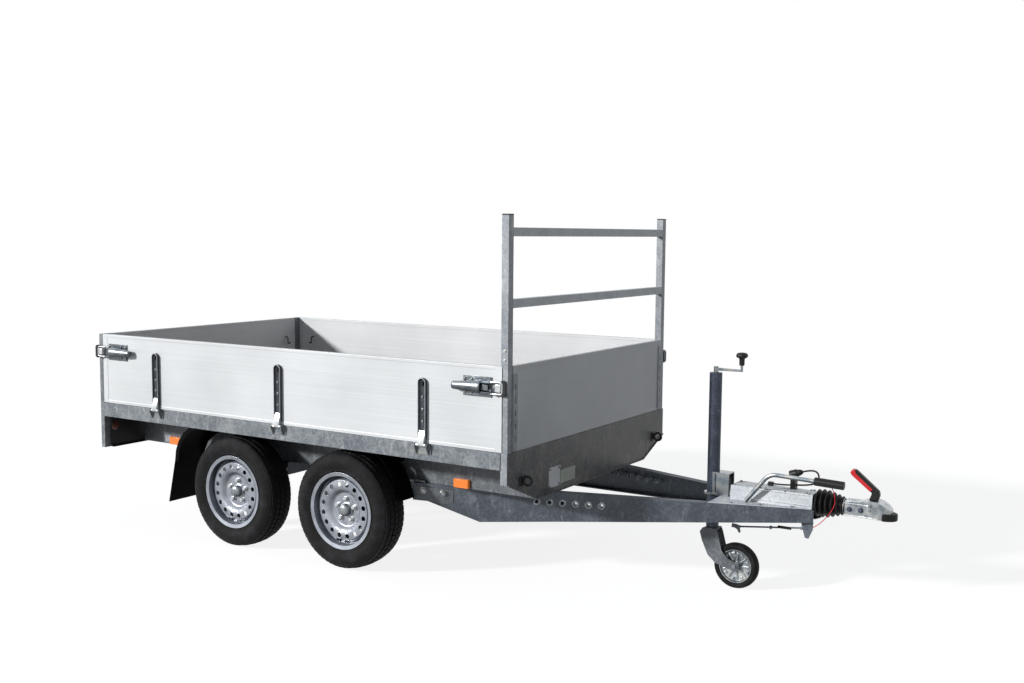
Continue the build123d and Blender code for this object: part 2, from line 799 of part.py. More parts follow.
def mudguard():
    """Tandem guard: a level crown over both wheels, a lipped rear corner with a deep flap, a narrow front."""
    rear, front = axle_x[1], axle_x[0]
    across, drop = guard_corner_reach - guard_crown_reach, guard_corner_drop
    turns = [radians(90 * step / guard_bends) for step in range(guard_bends + 1)]
    corner = [(across * sin(turn), drop * (1 - cos(turn))) for turn in turns]
    rear_corner = [(rear - guard_crown_reach - x, guard_crown - z) for x, z in reversed(corner)]
    over_axle = guard_crown - tyre_radius
    turns = [radians(guard_front_turn * step / guard_bends) for step in range(guard_bends + 1)]
    front_end = [(front + guard_front_reach * sin(turn), tyre_radius + over_axle * cos(turn)) for turn in turns]
    flap_end = (rear - guard_flap_reach, guard_crown - guard_flap_end)
    inner = guard_outer - guard_width
    crown = [*rear_corner, *front_end[:2]]
    guard = along_y(strip([flap_end, *crown], guard_sheet), inner, guard_outer)
    guard += along_y(strip(front_end, guard_sheet), inner, inner + guard_front_width)
    guard += along_y(strip(crown, guard_lip), guard_outer - guard_sheet, guard_outer)
    return guard


# ---------------------------------------------------------------- dropsides
side_x = (rear_face + rear_post_x + panel_gap, -post_size - panel_gap)


def side_panel():
    panel = block(*side_x, panel_inner, side, panel_bottom, panel_top)
    lip = block(side_x[1], side_x[1] + end_lip, side - panel_wall, side, panel_bottom, panel_top)
    return panel + lip


def hinge_strap(place):
    """Pressed strap: a rounded tray from the pin's barrel up the panel. Drawn facing +Y at x = 0."""
    half = strap_width / 2
    foot = pin_height + barrel_radius + 1
    corners = [(-half, foot), (half, foot), (half, strap_top), (-half, strap_top)]
    outline = make_face(Polyline(*corners, close=True))
    outline = fillet(outline.vertices().group_by(Axis.Y)[-1], half - 1)
    tray = extrude(Plane.XZ.offset(-strap_proud) * outline, amount=strap_proud)
    inset = half - strap_sheet
    core = make_face(Polyline((-inset, foot - 1), (inset, foot - 1), (inset, strap_top - strap_sheet),
                              (-inset, strap_top - strap_sheet), close=True))
    core = fillet(core.vertices().group_by(Axis.Y)[-1], inset - 1)
    tray -= extrude(Plane.XZ.offset(-strap_proud - 1) * core, amount=strap_proud + 1 - strap_sheet)
    tray -= rod_y(9, -1, strap_sheet + 1, 0, strap_top - half)
    out = pin_out + barrel_radius
    ramp = [
        (1, pin_height + 62), (strap_sheet + 1, pin_height + 66), (out, pin_height + 12), (out, pin_height),
        (pin_out, pin_height), (1, pin_height + 14),
    ]
    barrel = rod_x(barrel_radius, -half, half, pin_out, pin_height)
    barrel += along_x(ramp, -inset, inset)
    neck = barrel_radius - 0.5
    barrel += block(-half, half, pin_out - neck, pin_out + neck, pin_height, foot + 6)
    strap = tray + barrel
    strap -= rod_x(pin_radius + pin_clearance, -half - 1, half + 1, pin_out, pin_height)
    return place * strap


def hinge_foot(place):
    """Foot on the rail: back plate, two ears and the pin. Drawn facing +Y at x = 0."""
    ear_in = strap_width / 2 + 1.5
    ear_out = ear_in + 5
    z0 = rail_bottom + 30
    z1 = rail_top - 4
    plate = [(-76, z0), (50, z0), (50, z0 + 22), (ear_out, z1), (-ear_out, z1), (-76, z0 + 22)]
    foot = along_y(plate, 0, foot_sheet, 4)
    ear = [
        (0, z0), (2 * foot_sheet, z0), (pin_out + 10, pin_height - 8), (pin_out + 10, pin_height + 9),
        (pin_out - 9, pin_height + 9), (0, z1),
    ]
    for x0, x1 in ((-ear_out, -ear_in), (ear_in, ear_out)):
        foot += along_x(ear, x0, x1)
    foot += rod_x(pin_radius, -ear_out - 2, ear_out + 2, pin_out, pin_height)
    return place * foot


hook_length = 87
hook_window = (50, 76)
keeper_span = (55, 71)
keeper_height = 28
keeper_proud = 18


def latch(place, turn=1):
    """Over-centre latch on the panel. Drawn facing +Y, hook at +X times turn, plate's end at x = 0."""
    plate = block(-155, 0, 0, latch_plate_sheet, latch_height - 46, latch_height + 46)
    centre = latch_plate_sheet + latch_handle_radius
    handle = Pos(-218 + latch_handle_length / 2, centre, latch_height) * Rot(0, 90, 0) * Cone(
        15, latch_handle_radius, latch_handle_length)
    body = block(-60, 30, latch_plate_sheet, latch_plate_sheet + 24, latch_height - 24, latch_height + 24)
    hook = block(20, hook_length, 15, 27, latch_height - 34, latch_height + 34)
    hook = fillet(hook.edges().filter_by(Axis.Y), 8)
    hook += block(hook_window[1] + 1, hook_length, 2, 20, latch_height - 20, latch_height + 20)
    hook -= block(*hook_window, 10, 30, latch_height - 20, latch_height + 20)
    shape = plate + handle + body + hook
    if turn < 0:
        shape = mirror(shape, about=Plane.YZ)
    return place * shape


def keeper(place, seat, turn=1):
    """Stub on the post that the latch's hook closes over, standing off its seat."""
    low, high = sorted((keeper_span[0] * turn, keeper_span[1] * turn))
    z0 = latch_height - keeper_height / 2
    return place * block(low, high, seat, keeper_proud, z0, z0 + keeper_height)


front_latch_place = Pos(-latch_setback, side, 0)
rear_latch_place = Pos(rear_face + latch_setback, side, 0)
at_rear = Pos(rear_face, 0, 0) * Rot(0, 0, 90)
tailgate_latch_edge = side - latch_setback - 22


def solids_of(shapes):
    return Compound([solid for shape in shapes for solid in shape.solids()])


def side_straps():
    return solids_of([hinge_strap(Pos(x, side, 0)) for x in strap_x])


def side_feet():
    return solids_of([hinge_foot(Pos(x, side, 0)) for x in strap_x])


def side_latches():
    return solids_of([latch(front_latch_place), latch(rear_latch_place, turn=-1)])


def tailgate_panel():
    half = side - rear_post_y - panel_gap
    return block(rear_face, rear_face + panel_thickness, -half, half, panel_bottom, panel_top)


def tailgate_straps():
    return solids_of([hinge_strap(at_rear * Pos(y, 0, 0)) for y in tailgate_strap_y])


def tailgate_feet():
    return solids_of([hinge_foot(at_rear * Pos(y, 0, 0)) for y in tailgate_strap_y])


def tailgate_latches():
    left = latch(at_rear * Pos(tailgate_latch_edge, 0, 0))
    right = latch(at_rear * Pos(-tailgate_latch_edge, 0, 0), turn=-1)
    return solids_of([left, right])


# ---------------------------------------------------------------- free cables
plug_radius = 19
plug_length = 62
cable_radius = 4
breakaway_radius = 1.8


def from_housing(x, y, z):
    """A cable's point, given from the middle of the housing's front top edge."""
    return (housing_front + x, y, housing_top + z)


plug_y = 30
plug_front = from_housing(-74, plug_y, 84)     # where the cable leaves the plug
plug_back = from_housing(-132, plug_y, 64)
clip_front = from_housing(-215, 34, 10)        # cable's clip on the housing
electric_route = (
    clip_front, from_housing(-165, 34, 10), from_housing(-115, 37, 16), from_housing(-65, 30, 22),
    from_housing(-20, 24, 32), from_housing(8, 22, 58), from_housing(-1, 26, 92), from_housing(-38, 30, 96.4),
    plug_front,
)
breakaway_route = (
    from_housing(90, -76, 65), from_housing(98, -62, 32), from_housing(107, -58, -6),
    from_housing(101, -59, -45), from_housing(79, -58, -80), from_housing(51, -52, -114),
    from_housing(22, -47, -142), from_housing(-16, -45, -164),
)


def electric_plug():
    """Thirteen-way plug: a round body with a stepped neck at the cable's end."""
    axis = Vector(*plug_front) - Vector(*plug_back)
    profile = [(0, 0), (plug_radius, 0), (plug_radius, 34), (plug_radius - 4, 38), (plug_radius - 5, 50),
               (8, axis.length), (0, axis.length)]
    body = revolve(Plane.XZ * make_face(Polyline(*profile, close=True)), Axis.Z)
    return Plane(origin=plug_back, z_dir=axis) * body


def plug_holder():
    """Cradle for the parked plug and the cable's clip, both on the housing's top."""
    x0 = plug_back[0] + 6
    cradle = block(x0, x0 + 24, plug_y - 17, plug_y + 17, housing_top, plug_back[2] + 6)
    back = Vector(*plug_back)
    axis = Vector(*plug_front) - back
    bore = Plane(origin=back - axis, z_dir=axis) * Cylinder(plug_radius + fit_gap, 4 * axis.length)
    cradle -= bore
    cradle -= rod_x(cable_radius + 3, x0 - 24, x0 + 36, plug_y + 6, housing_top + 15)
    x, y, z = clip_front
    clip = block(x - 22, x, y - 10, y + 10, housing_top, z + 8)
    return solids_of([cradle, clip])


def cord(points, radius, name):
    """A tube along straight runs joined by tangent arcs, each as large as its two runs allow."""
    spots = [Vector(*p) for p in points]
    radii = []
    for before, here, after in zip(spots, spots[1:], spots[2:]):
        turn = (here - before).get_angle(after - here)
        shorter = min((here - before).length, (after - here).length)
        radii.append(0.45 * shorter / tan(radians(turn) / 2))
    print(name, "bend radii", [round(r) for r in radii])
    path = FilletPolyline(*points, radius=radii)
    tube = sweep(Plane(path @ 0, z_dir=path % 0) * Circle(radius), path)
    print(name, "volume", round(tube.volume), "section times length", round(pi * radius**2 * path.length))
    return tube


# ---------------------------------------------------------------- all the pieces
nodes["main_beams"] = main_beams()
nodes["cross_members"] = cross_members()
nodes["side_rails"] = side_rails()
nodes["rear_sill"] = rear_sill()
nodes["deck_panel"] = deck_panel()
nodes["rear_posts"] = rear_posts()
nodes["lamp_board"] = lamp_board()
nodes["rear_lamps"] = rear_lamps()
nodes["front_panel"] = front_panel()
nodes["front_wall"] = front_wall()
nodes["side_markers"] = side_markers()
nodes["lashing_rings"] = lashing_rings()
nodes["rack_posts"] = rack_posts()
nodes["rack_caps"] = rack_caps()
nodes["rack_rungs"] = rack_rungs()
nodes["drawbar_arms"] = drawbar_arms()
nodes["overrun_housing"] = overrun_housing()
nodes["drawbar_gaiter"] = drawbar_gaiter()
nodes["coupling_head"] = coupling_head()
nodes["coupling_nose"] = coupling_nose()
nodes["coupling_handle"] = coupling_handle()
nodes["handbrake_lever"] = handbrake_lever()
nodes["handbrake_grip"] = handbrake_grip()
nodes["brake_linkage"] = brake_linkage()
nodes["jockey_clamp"] = jockey_clamp()
nodes["jockey_tube"] = jockey_tube()
nodes["jockey_crank"] = jockey_crank()
nodes["jockey_knob"] = jockey_knob()
nodes["jockey_leg"] = jockey_leg()
nodes["jockey_fork"] = jockey_fork()
nodes["jockey_rim"] = jockey_rim()
nodes["jockey_tyre"] = jockey_tyre()
nodes["axle_tubes"] = axle_tubes()
nodes["swing_arms"] = swing_arms()
nodes["mudguards"] = both_sides(mudguard())

nodes["electric_cable"] = cord(electric_route, cable_radius, "electric cable")
nodes["electric_plug"] = electric_plug()
nodes["plug_holder"] = plug_holder()
nodes["breakaway_cable"] = cord(breakaway_route, breakaway_radius, "breakaway cable")

tyre, rim, hub = tyre_shape(), rim_shape(), hub_shape()
for axle_name, x in zip(("front", "rear"), axle_x):
    for side_name, sign in (("left", 1), ("right", -1)):
        nodes[f"tyre_{axle_name}_{side_name}"] = wheel_place(x, sign, tyre)
        nodes[f"rim_{axle_name}_{side_name}"] = wheel_place(x, sign, rim)
        nodes[f"hub_{axle_name}_{side_name}"] = wheel_place(x, sign, hub)

for side_name, place in (("left", lambda shape: shape), ("right", other_side)):
    nodes[f"side_panel_{side_name}"] = place(side_panel())
    nodes[f"side_hardware_{side_name}"] = place(solids_of([side_straps(), side_latches()]))
nodes["tailgate_panel"] = tailgate_panel()
nodes["tailgate_hardware"] = solids_of([tailgate_straps(), tailgate_latches()])
nodes["hinge_feet"] = solids_of([both_sides(side_feet()), tailgate_feet()])

os.makedirs("parts", exist_ok=True)
for name, shape in nodes.items():
    export_step(Pos(front_face_x, 0, 0) * shape, f"parts/{name}.step")
print(len(nodes), "pieces, overall length", overall_length, "front wall at x", front_face_x)
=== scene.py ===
import bmesh
import bpy
import json
import math
from mathutils import Matrix, Vector


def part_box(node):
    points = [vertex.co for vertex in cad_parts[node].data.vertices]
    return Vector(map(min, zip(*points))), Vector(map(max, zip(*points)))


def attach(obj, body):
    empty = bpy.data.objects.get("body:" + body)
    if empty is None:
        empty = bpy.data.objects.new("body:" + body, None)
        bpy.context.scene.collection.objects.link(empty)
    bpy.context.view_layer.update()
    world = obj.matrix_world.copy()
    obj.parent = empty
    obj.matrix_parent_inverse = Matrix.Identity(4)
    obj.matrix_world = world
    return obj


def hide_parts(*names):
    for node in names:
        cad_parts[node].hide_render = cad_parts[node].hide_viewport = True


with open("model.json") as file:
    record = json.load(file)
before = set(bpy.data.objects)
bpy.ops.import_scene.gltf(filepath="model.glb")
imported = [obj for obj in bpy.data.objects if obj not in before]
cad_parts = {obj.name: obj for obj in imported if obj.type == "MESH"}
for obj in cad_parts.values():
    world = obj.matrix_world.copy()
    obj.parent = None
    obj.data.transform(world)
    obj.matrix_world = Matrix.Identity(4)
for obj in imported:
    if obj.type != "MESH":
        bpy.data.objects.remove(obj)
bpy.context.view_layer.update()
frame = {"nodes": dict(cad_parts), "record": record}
cadNodes = frame["nodes"]
bodyOf = {node: body for body, members in frame["record"]["behaviour"]["bodies"].items() for node in members}
slotOf = {entry["node"]: entry["material_slot"] for entry in frame["record"]["subparts"]}
frontWall = 0.654  # front wall's front face, metres ahead of the origin
sideFace, bedLength = 0.83, 2.78  # outer faces of the dropsides and of the tailgate
acrossMiddle = Matrix.Diagonal((1, -1, 1, 1))
quarterTurn = Matrix.Rotation(math.radians(90), 4, "Z")
scene = bpy.context.scene
scene.view_settings.view_transform = "Standard"
print("stage: frame loaded,", len(cadNodes), "nodes")


def place(x, y, z):
    # millimetres from the front wall's front face to metres in the scene
    return Vector((frontWall + x / 1000, y / 1000, z / 1000))


def outlined(points):
    # the same for the (x, z) or (x, y) points of an outline
    return [(frontWall + x / 1000, across / 1000) for x, across in points]


def newObject(name, data):
    thing = bpy.data.objects.new(name, data)
    scene.collection.objects.link(thing)
    return thing


# camera
cameraLook = {
    "azimuth": 0.56030656, "elevation": 0.094624872, "roll": 0.00814892506,
    "lens": 40.236, "sensor": 36, "position": (3.36043, -5.11272, 1.68528),
}


def makeCamera(look):
    azimuth, elevation, roll = look["azimuth"], look["elevation"], look["roll"]
    level = math.cos(elevation)
    back = Vector((math.sin(azimuth) * level, -math.cos(azimuth) * level, math.sin(elevation)))
    right = Vector((math.cos(azimuth), math.sin(azimuth), 0))
    up = back.cross(right)
    across = right * math.cos(roll) + up * math.sin(roll)
    upward = up * math.cos(roll) - right * math.sin(roll)
    data = bpy.data.cameras.new("tripodCamera")
    data.sensor_width = look["sensor"]
    data.lens = look["lens"]
    scene.camera = newObject("tripodCamera", data)
    turned = Matrix((across, upward, back)).transposed().to_4x4()
    scene.camera.matrix_world = Matrix.Translation(look["position"]) @ turned


makeCamera(cameraLook)


# materials
def linear(hexColour):
    channels = [int(hexColour[i:i + 2], 16) / 255 for i in (1, 3, 5)]
    return [c / 12.92 if c <= 0.04045 else ((c + 0.055) / 1.055) ** 2.4 for c in channels] + [1.0]


def fill(node, values):
    # values are node properties, or inputs by name or number; a socket is linked
    for key, value in values.items():
        if isinstance(key, str) and hasattr(node, key):
            setattr(node, key, value)
        elif isinstance(value, bpy.types.NodeSocket):
            node.id_data.links.new(value, node.inputs[key])
        else:
            node.inputs[key].default_value = value
    return node


def addNode(tree, kind, **values):
    # words in an input's name are joined by an underscore, and i0 is input number 0
    named = {}
    for key, value in values.items():
        isNumber = key[0] == "i" and key[1:].isdigit()
        isInput = key[0].isupper()
        named[int(key[1:]) if isNumber else key.replace("_", " ") if isInput else key] = value
    return fill(tree.nodes.new(kind), named)


def maths(operation, *values):
    tree = next(value.id_data for value in values if isinstance(value, bpy.types.NodeSocket))
    return fill(tree.nodes.new("ShaderNodeMath"), {"operation": operation, **dict(enumerate(values))}).outputs[0]


def xyz(**parts):
    return addNode([*parts.values()][0].id_data, "ShaderNodeCombineXYZ", **parts).outputs[0]


def noise(source, scale, detail, roughness=0.5, distortion=0.0):
    return addNode(source.id_data, "ShaderNodeTexNoise", Vector=source, Scale=scale, Detail=detail,
                   Roughness=roughness, Distortion=distortion).outputs[0]


def ranged(value, low, high):
    return addNode(value.id_data, "ShaderNodeMapRange", Value=value, To_Min=low, To_Max=high).outputs[0]


def ramp(factor, *stops):
    node = addNode(factor.id_data, "ShaderNodeValToRGB", Fac=factor)
    elements = node.color_ramp.elements
    while len(elements) < len(stops):
        elements.new(0.5)
    for element, (position, colour) in zip(elements, stops):
        element.position = position
        element.color = linear(colour) if isinstance(colour, str) else (colour, colour, colour, 1)
    return node.outputs["Color"]


def mixed(factor, base, colour):
    mix = addNode(factor.id_data, "ShaderNodeMix", data_type="RGBA", i0=factor, i6=base, i7=linear(colour))
    return mix.outputs[2]


def stretched(source, **values):
    return addNode(source.id_data, "ShaderNodeMapping", Vector=source, **values).outputs[0]


def shadedByFacing(colour, under, above=1.08):
    # painted shade and light: surfaces that face down are darker, and those that face up lighter, as the light falls on
    # them
    tree = colour.id_data
    parts = addNode(tree, "ShaderNodeSeparateXYZ", Vector=addNode(tree, "ShaderNodeNewGeometry").outputs["Normal"])
    film = addNode(tree, "ShaderNodeMapRange", Value=parts.outputs["Z"], From_Min=-0.7, From_Max=0.6, To_Min=under,
                   To_Max=above)
    return addNode(tree, "ShaderNodeVectorMath", operation="SCALE", i0=colour, Scale=film.outputs[0]).outputs[0]


def newMaterial(name):
    material = bpy.data.materials.new(name)
    material.use_nodes = True
    tree = material.node_tree
    tree.nodes.clear()
    shader = addNode(tree, "ShaderNodeBsdfPrincipled")
    addNode(tree, "ShaderNodeOutputMaterial", i0=shader.outputs[0])
    return tree, shader, addNode(tree, "ShaderNodeTexCoord").outputs["Object"]


def dressed(name, shader, colour, rough, relief, strength, depth, **others):
    # joins a material's colour, roughness and relief to its shader, and gives the material back
    tree = shader.id_data
    bump = addNode(tree, "ShaderNodeBump", Strength=strength, Distance=depth, Height=relief)
    values = {key.replace("_", " "): value for key, value in others.items()}
    fill(shader, {"Base Color": colour, "Roughness": rough, "Normal": bump.outputs[0], **values})
    return bpy.data.materials[name]


# finish: name, dark, middle, light and stain, size of the spangles in metres, metallic
galvanisedLooks = {
    # hot-dip galvanised steel: grey zinc with spangles, dull and bright patches and pale runs
    "galvanised": ("hotDipGalvanisedSteel", "#666c73", "#7c8287", "#939799", "#c9cccd", 0.01, 0.28),
    # the same zinc, painted paler on the posts and the markers' plates: painted light
    "galvanisedPale": ("freshGalvanisedSteel", "#858b92", "#999ea3", "#afb2b6", "#d2d5d6", 0.008, 0.25),
    # the palest copy of the zinc, on the rungs, the overrun housing and the drawbar's sleeves: painted light and
    # highlight
    "galvanisedRung": ("palestGalvanisedSteel", "#b3b8bd", "#c4c9cd", "#d2d5d8", "#e0e2e3", 0.008, 0.2),
    # a darker, bluer copy of the zinc on the drawbar and axles: painted shade and dark reflection
    "galvanisedDull": ("weatheredGalvanisedSteel", "#474d56", "#565d66", "#6a7078", "#9ba1a6", 0.009, 0.3),
    # a darker copy of the zinc under the bed and on the fork: painted shade
    "galvanisedShaded": ("grimyGalvanisedSteel", "#565a5f", "#686c70", "#7d8185", "#a8acb0", 0.009, 0.3),
    # galvanised sheet, a darker brownish copy on the front panel: painted shade and reflection
    "panelSteel": ("stainedGalvanisedSheet", "#474849", "#5b5c5e", "#74726d", "#a19c93", 0.009, 0.3),
    # drawn tube and bolts, plated, in a dark blue-grey copy: painted shade and dark reflection
    "tubeSteel": ("platedTube", "#363e4c", "#424b5a", "#596170", "#838b97", 0.006, 0.45),
}


def makeGalvanised(name, dark, middle, light, stain, spangle, metallic):
    tree, shader, here = newMaterial(name)
    cells = addNode(tree, "ShaderNodeTexVoronoi", Vector=here, Scale=1 / spangle, Randomness=1.0)
    tone = maths("MULTIPLY_ADD", cells.outputs["Color"], 0.34, -0.13)
    tone = maths("ADD", tone, noise(here, 9.0, 5.0, 0.62))
    tone = maths("MULTIPLY_ADD", noise(here, 420.0, 3.0), 0.1, tone)
    base = ramp(tone, (0.42, dark), (0.6, middle), (0.8, light))
    runs = noise(stretched(here, Scale=(5.0, 5.0, 1.6)), 6.0, 6.0, 0.7, 0.6)
    # painted shade: surfaces that face down are darker
    colour = shadedByFacing(mixed(ramp(runs, (0.56, 0.0), (0.7, 0.6)), base, stain), 0.62)
    return dressed(name, shader, colour, ranged(tone, 0.36, 0.62), tone, 0.22, 0.0006, Metallic=metallic)


# finish: name, cool, plain and warm, metallic
zincLooks = {
    # zinc-plated pressed steel: bright, thinly mottled, with faint warm and blue passivation
    "bright_zinc": ("zincPlatedSteel", "#78838c", "#9a9fa2", "#adaca3", 0.9),
    # the same plating in a brighter copy: painted light on small parts that catch the sun
    "polishedZinc": ("polishedZincSteel", "#c3c9cd", "#dfe2e3", "#e6e4dc", 0.7),
    # plated castings and pressings of the coupling head and the jockey wheel's rim, in a brighter copy: painted
    # highlight
    "castZinc": ("platedCastIron", "#7f8890", "#b0b4b6", "#d3d2cb", 0.85),
    # a darker copy of the plating on the latches: painted shade and dark reflection
    "latchZinc": ("handledZincSteel", "#59626a", "#7b8186", "#8f8f8a", 0.9),
}


def makeZinc(name, cool, plain, warm, metallic):
    tree, shader, here = newMaterial(name)
    cloud = noise(here, 28.0, 4.0, 0.6)
    # painted shade below and painted light on top
    colour = shadedByFacing(ramp(cloud, (0.35, cool), (0.55, plain), (0.72, warm)), 0.2, 1.25)
    rough = ranged(noise(here, 160.0, 4.0), 0.22, 0.42)
    return dressed(name, shader, colour, rough, cloud, 0.12, 0.0005, Metallic=metallic)


# finish: name, low and high tone, and the scale across the drawn lines
aluminiumLooks = {
    # anodised extruded aluminium: satin grey, drawn lines along the profile, slight cloudiness
    "aluminium": ("anodisedAluminium", "#d0d2d3", "#e0e2e3", (1.2, 260.0, 260.0)),
    # the same, drawn across the trailer
    "aluminiumAcross": ("anodisedAluminiumAcross", "#d0d2d3", "#e0e2e3", (260.0, 1.2, 260.0)),
    # the front wall's boards, a darker copy for painted shade, finely scratched
    "aluminiumFront": ("scratchedAluminium", "#b0b3b6", "#c0c3c6", (260.0, 1.2, 260.0)),
}


def makeAluminium(name, low, high, scale):
    tree, shader, here = newMaterial(name)
    lines = noise(stretched(here, Scale=scale), 1.0, 3.0)
    tone = maths("MULTIPLY_ADD", lines, 0.45, noise(here, 2.2, 4.0))
    colour = ramp(tone, (0.5, low), (0.95, high))
    return dressed(name, shader, colour, ranged(lines, 0.38, 0.5), lines, 0.08, 0.0003, Metallic=0.14)


# phenolic-faced birch plywood: dark brown film with a pressed wire-mesh grip, 6 mm pitch
def makePlywood(name):
    tree, shader, here = newMaterial(name)
    turned = stretched(here, Rotation=(0, 0, math.radians(45)))
    waves = [addNode(tree, "ShaderNodeTexWave", bands_direction=way, Scale=26.0, Vector=turned) for way in "XY"]
    mesh = maths("MAXIMUM", *[wave.outputs["Fac"] for wave in waves])
    colour = ramp(noise(here, 5.0, 6.0, 0.65), (0.35, "#3b2a20"), (0.6, "#543b2b"), (0.8, "#7a6350"))
    return dressed(name, shader, colour, 0.5, mesh, 0.5, 0.0006)


# finish: name, clean, dusty, roughness, scale and depth of the grain, specular, where dust starts and is full
mouldedLooks = {
    # vulcanised tyre rubber: near black, matt, with grey road dust
    "tyre": ("tyreRubber", "#050506", "#2b2b2e", 0.74, 260.0, 0.3, 0.2, 0.46, 0.7),
    # moulded rubber sleeve: black, a little sheen, dust in the folds
    "rubber": ("mouldedRubber", "#030304", "#0c0c0d", 0.5, 180.0, 0.1, 0.25),
    # moulded black nylon and ABS: fine spark-eroded grain
    "black_plastic": ("blackNylon", "#060607", "#101011", 0.42, 900.0, 0.1, 0.3),
    # polypropylene mudguard sheet: black, matt, grained
    "guardPlastic": ("polypropyleneSheet", "#020202", "#060607", 0.66, 500.0, 0.2, 0.05),
    # near black on the lamp board and the lashing eyes; on the latches' hooks it is painted shade
    "darkPaint": ("darkChassisPaint", "#17181a", "#232427", 0.5, 600.0, 0.08, 0.3),
    # blank pale polyester label, satin, a little yellowed
    "labelFilm": ("polyesterLabel", "#d9dcd0", "#c6c9b8", 0.4, 400.0, 0.03),
    # glossy red moulded ABS
    "red_plastic": ("redAbs", "#c3141d", "#d8262c", 0.35, 700.0, 0.05),
}


def makeMoulded(name, clean, dusty, rough, grain, depth, specular=0.5, start=0.38, full=0.75):
    tree, shader, here = newMaterial(name)
    dust = noise(here, 14.0, 6.0, 0.68)
    return dressed(name, shader, ramp(dust, (start, clean), (full, dusty)),
                   ranged(dust, rough - 0.08, rough + 0.1), noise(here, grain, 2.0), depth, 0.0006,
                   Specular_IOR_Level=specular)


# silver wheel lacquer over pressed steel: fine metal flake under a thin clear coat
def makeWheelPaint(name):
    tree, shader, here = newMaterial(name)
    flake = addNode(tree, "ShaderNodeTexVoronoi", Scale=900.0, Vector=here).outputs
    tone = maths("MULTIPLY_ADD", flake["Color"], 0.25, noise(here, 18.0, 5.0))
    # painted shade below and painted light on top
    colour = shadedByFacing(ramp(tone, (0.35, "#878d98"), (0.8, "#b0b5bd")), 0.35, 1.15)
    return dressed(name, shader, colour, 0.36, flake["Distance"], 0.05, 0.0004, Metallic=0.6, Coat_Weight=0.3,
                   Coat_Roughness=0.12)


# finish: name, deep and bright colour, glow
lensLooks = {
    # moulded acrylic: saturated, glossy, with 5 mm prism flutes inside
    "lamp_lens": ("redAcrylicLens", "#7d0d10", "#d22a22", 0.0),
    # the amber lens glows a little: painted light
    "marker_lens": ("amberAcrylicLens", "#e66a04", "#f4860f", 0.3),
    # the same, seen in the shade of the rear posts
    "shadedLens": ("smokedAmberLens", "#3a1405", "#8a3a0c", 0.0),
}


def makeLens(name, deep, bright, glow):
    tree, shader, here = newMaterial(name)
    flutes = addNode(tree, "ShaderNodeTexVoronoi", distance="CHEBYCHEV", Scale=200.0, Randomness=0.0, Vector=here)
    flutes = flutes.outputs["Distance"]
    return dressed(name, shader, ramp(flutes, (0.1, bright), (0.55, deep)), 0.16, flutes, 0.25, 0.0008,
                   Emission_Color=linear(bright), Emission_Strength=glow, Coat_Weight=0.6, IOR=1.49)


# galvanised pressed steel, painted dark in the channel for its shade and dark reflection, and painted bright on the rim
# off the panel for its highlight
strapLook = {"floor": "#33373c", "floorLight": "#4d5258", "rim": "#a3a9af", "rimOut": 0.0132, "rimBlend": 0.0008}


def makeStrapSteel(name, look):
    tree, shader, here = newMaterial(name)
    parts = addNode(tree, "ShaderNodeSeparateXYZ", Vector=here).outputs
    off = maths("SUBTRACT", maths("ABSOLUTE", parts["Y"]), sideFace)
    off = maths("MAXIMUM", off, maths("MULTIPLY_ADD", parts["X"], -1.0, frontWall - bedLength))
    rim = addNode(tree, "ShaderNodeMapRange", Value=off, From_Min=look["rimOut"] - look["rimBlend"],
                  From_Max=look["rimOut"] + look["rimBlend"])
    cloud = noise(here, 40.0, 5.0, 0.65)
    floor = ramp(cloud, (0.35, look["floor"]), (0.7, look["floorLight"]))
    return dressed(name, shader, mixed(rim.outputs[0], floor, look["rim"]), ranged(cloud, 0.32, 0.5),
                   cloud, 0.12, 0.0005, Metallic=0.5)


materials = {
    "plywood": makePlywood("filmFacedPlywood"),
    "wheel_paint": makeWheelPaint("silverWheelLacquer"),
    "strapSteel": makeStrapSteel("strapSteel", strapLook),
}
for maker, looks in ((makeGalvanised, galvanisedLooks), (makeZinc, zincLooks), (makeAluminium, aluminiumLooks),
                     (makeMoulded, mouldedLooks), (makeLens, lensLooks)):
    for finish, look in looks.items():
        materials[finish] = maker(*look)
print("stage: materials,", len(materials))


# free cables
def bentLine(curve, points):
    spline = curve.splines.new("NURBS")
    spline.points.add(len(points) - 1)
    for point, spot in zip(spline.points, points):
        point.co = (*spot, 1)
    spline.order_u = 3
    spline.use_endpoint_u = True


def roundBar(name, radius, fineness):
    curve = bpy.data.curves.new(name, "CURVE")
    curve.dimensions = "3D"
    curve.bevel_depth = radius
    curve.bevel_resolution = fineness
    curve.use_fill_caps = True
    return curve


def smoothCord(name, look, node, slotName):
    curve = roundBar(name, look["diameter"] / 2, 4)
    bentLine(curve, look["route"])
    curve.materials.append(materials[slotName])
    cord = newObject(name, curve)
    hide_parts(node)
    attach(cord, "chassis")
    return cord


electricCable = {
    "diameter": 0.008, "length": 0.338,
    "route": [
        (1.589, 0.034, 0.52), (1.639, 0.034, 0.52), (1.689, 0.037, 0.526), (1.739, 0.03, 0.532),
        (1.784, 0.024, 0.542), (1.812, 0.022, 0.568), (1.803, 0.026, 0.602), (1.766, 0.03, 0.6064),
        (1.73, 0.03, 0.594),
    ],
}
breakawayCable = {
    "diameter": 0.0036, "length": 0.284,
    "route": [
        (1.894, -0.076, 0.575), (1.902, -0.062, 0.542), (1.911, -0.058, 0.504), (1.905, -0.059, 0.465),
        (1.883, -0.058, 0.43), (1.855, -0.052, 0.396), (1.826, -0.047, 0.368), (1.788, -0.045, 0.346),
    ],
}


def makeCables():
    cable = smoothCord("electricCable", electricCable, "electric_cable", "rubber")
    safety = smoothCord("breakawayCable", breakawayCable, "breakaway_cable", "red_plastic")


makeCables()
print("stage: cables")


# shared mesh tools
weldGap = 0.00001  # points nearer than this are one


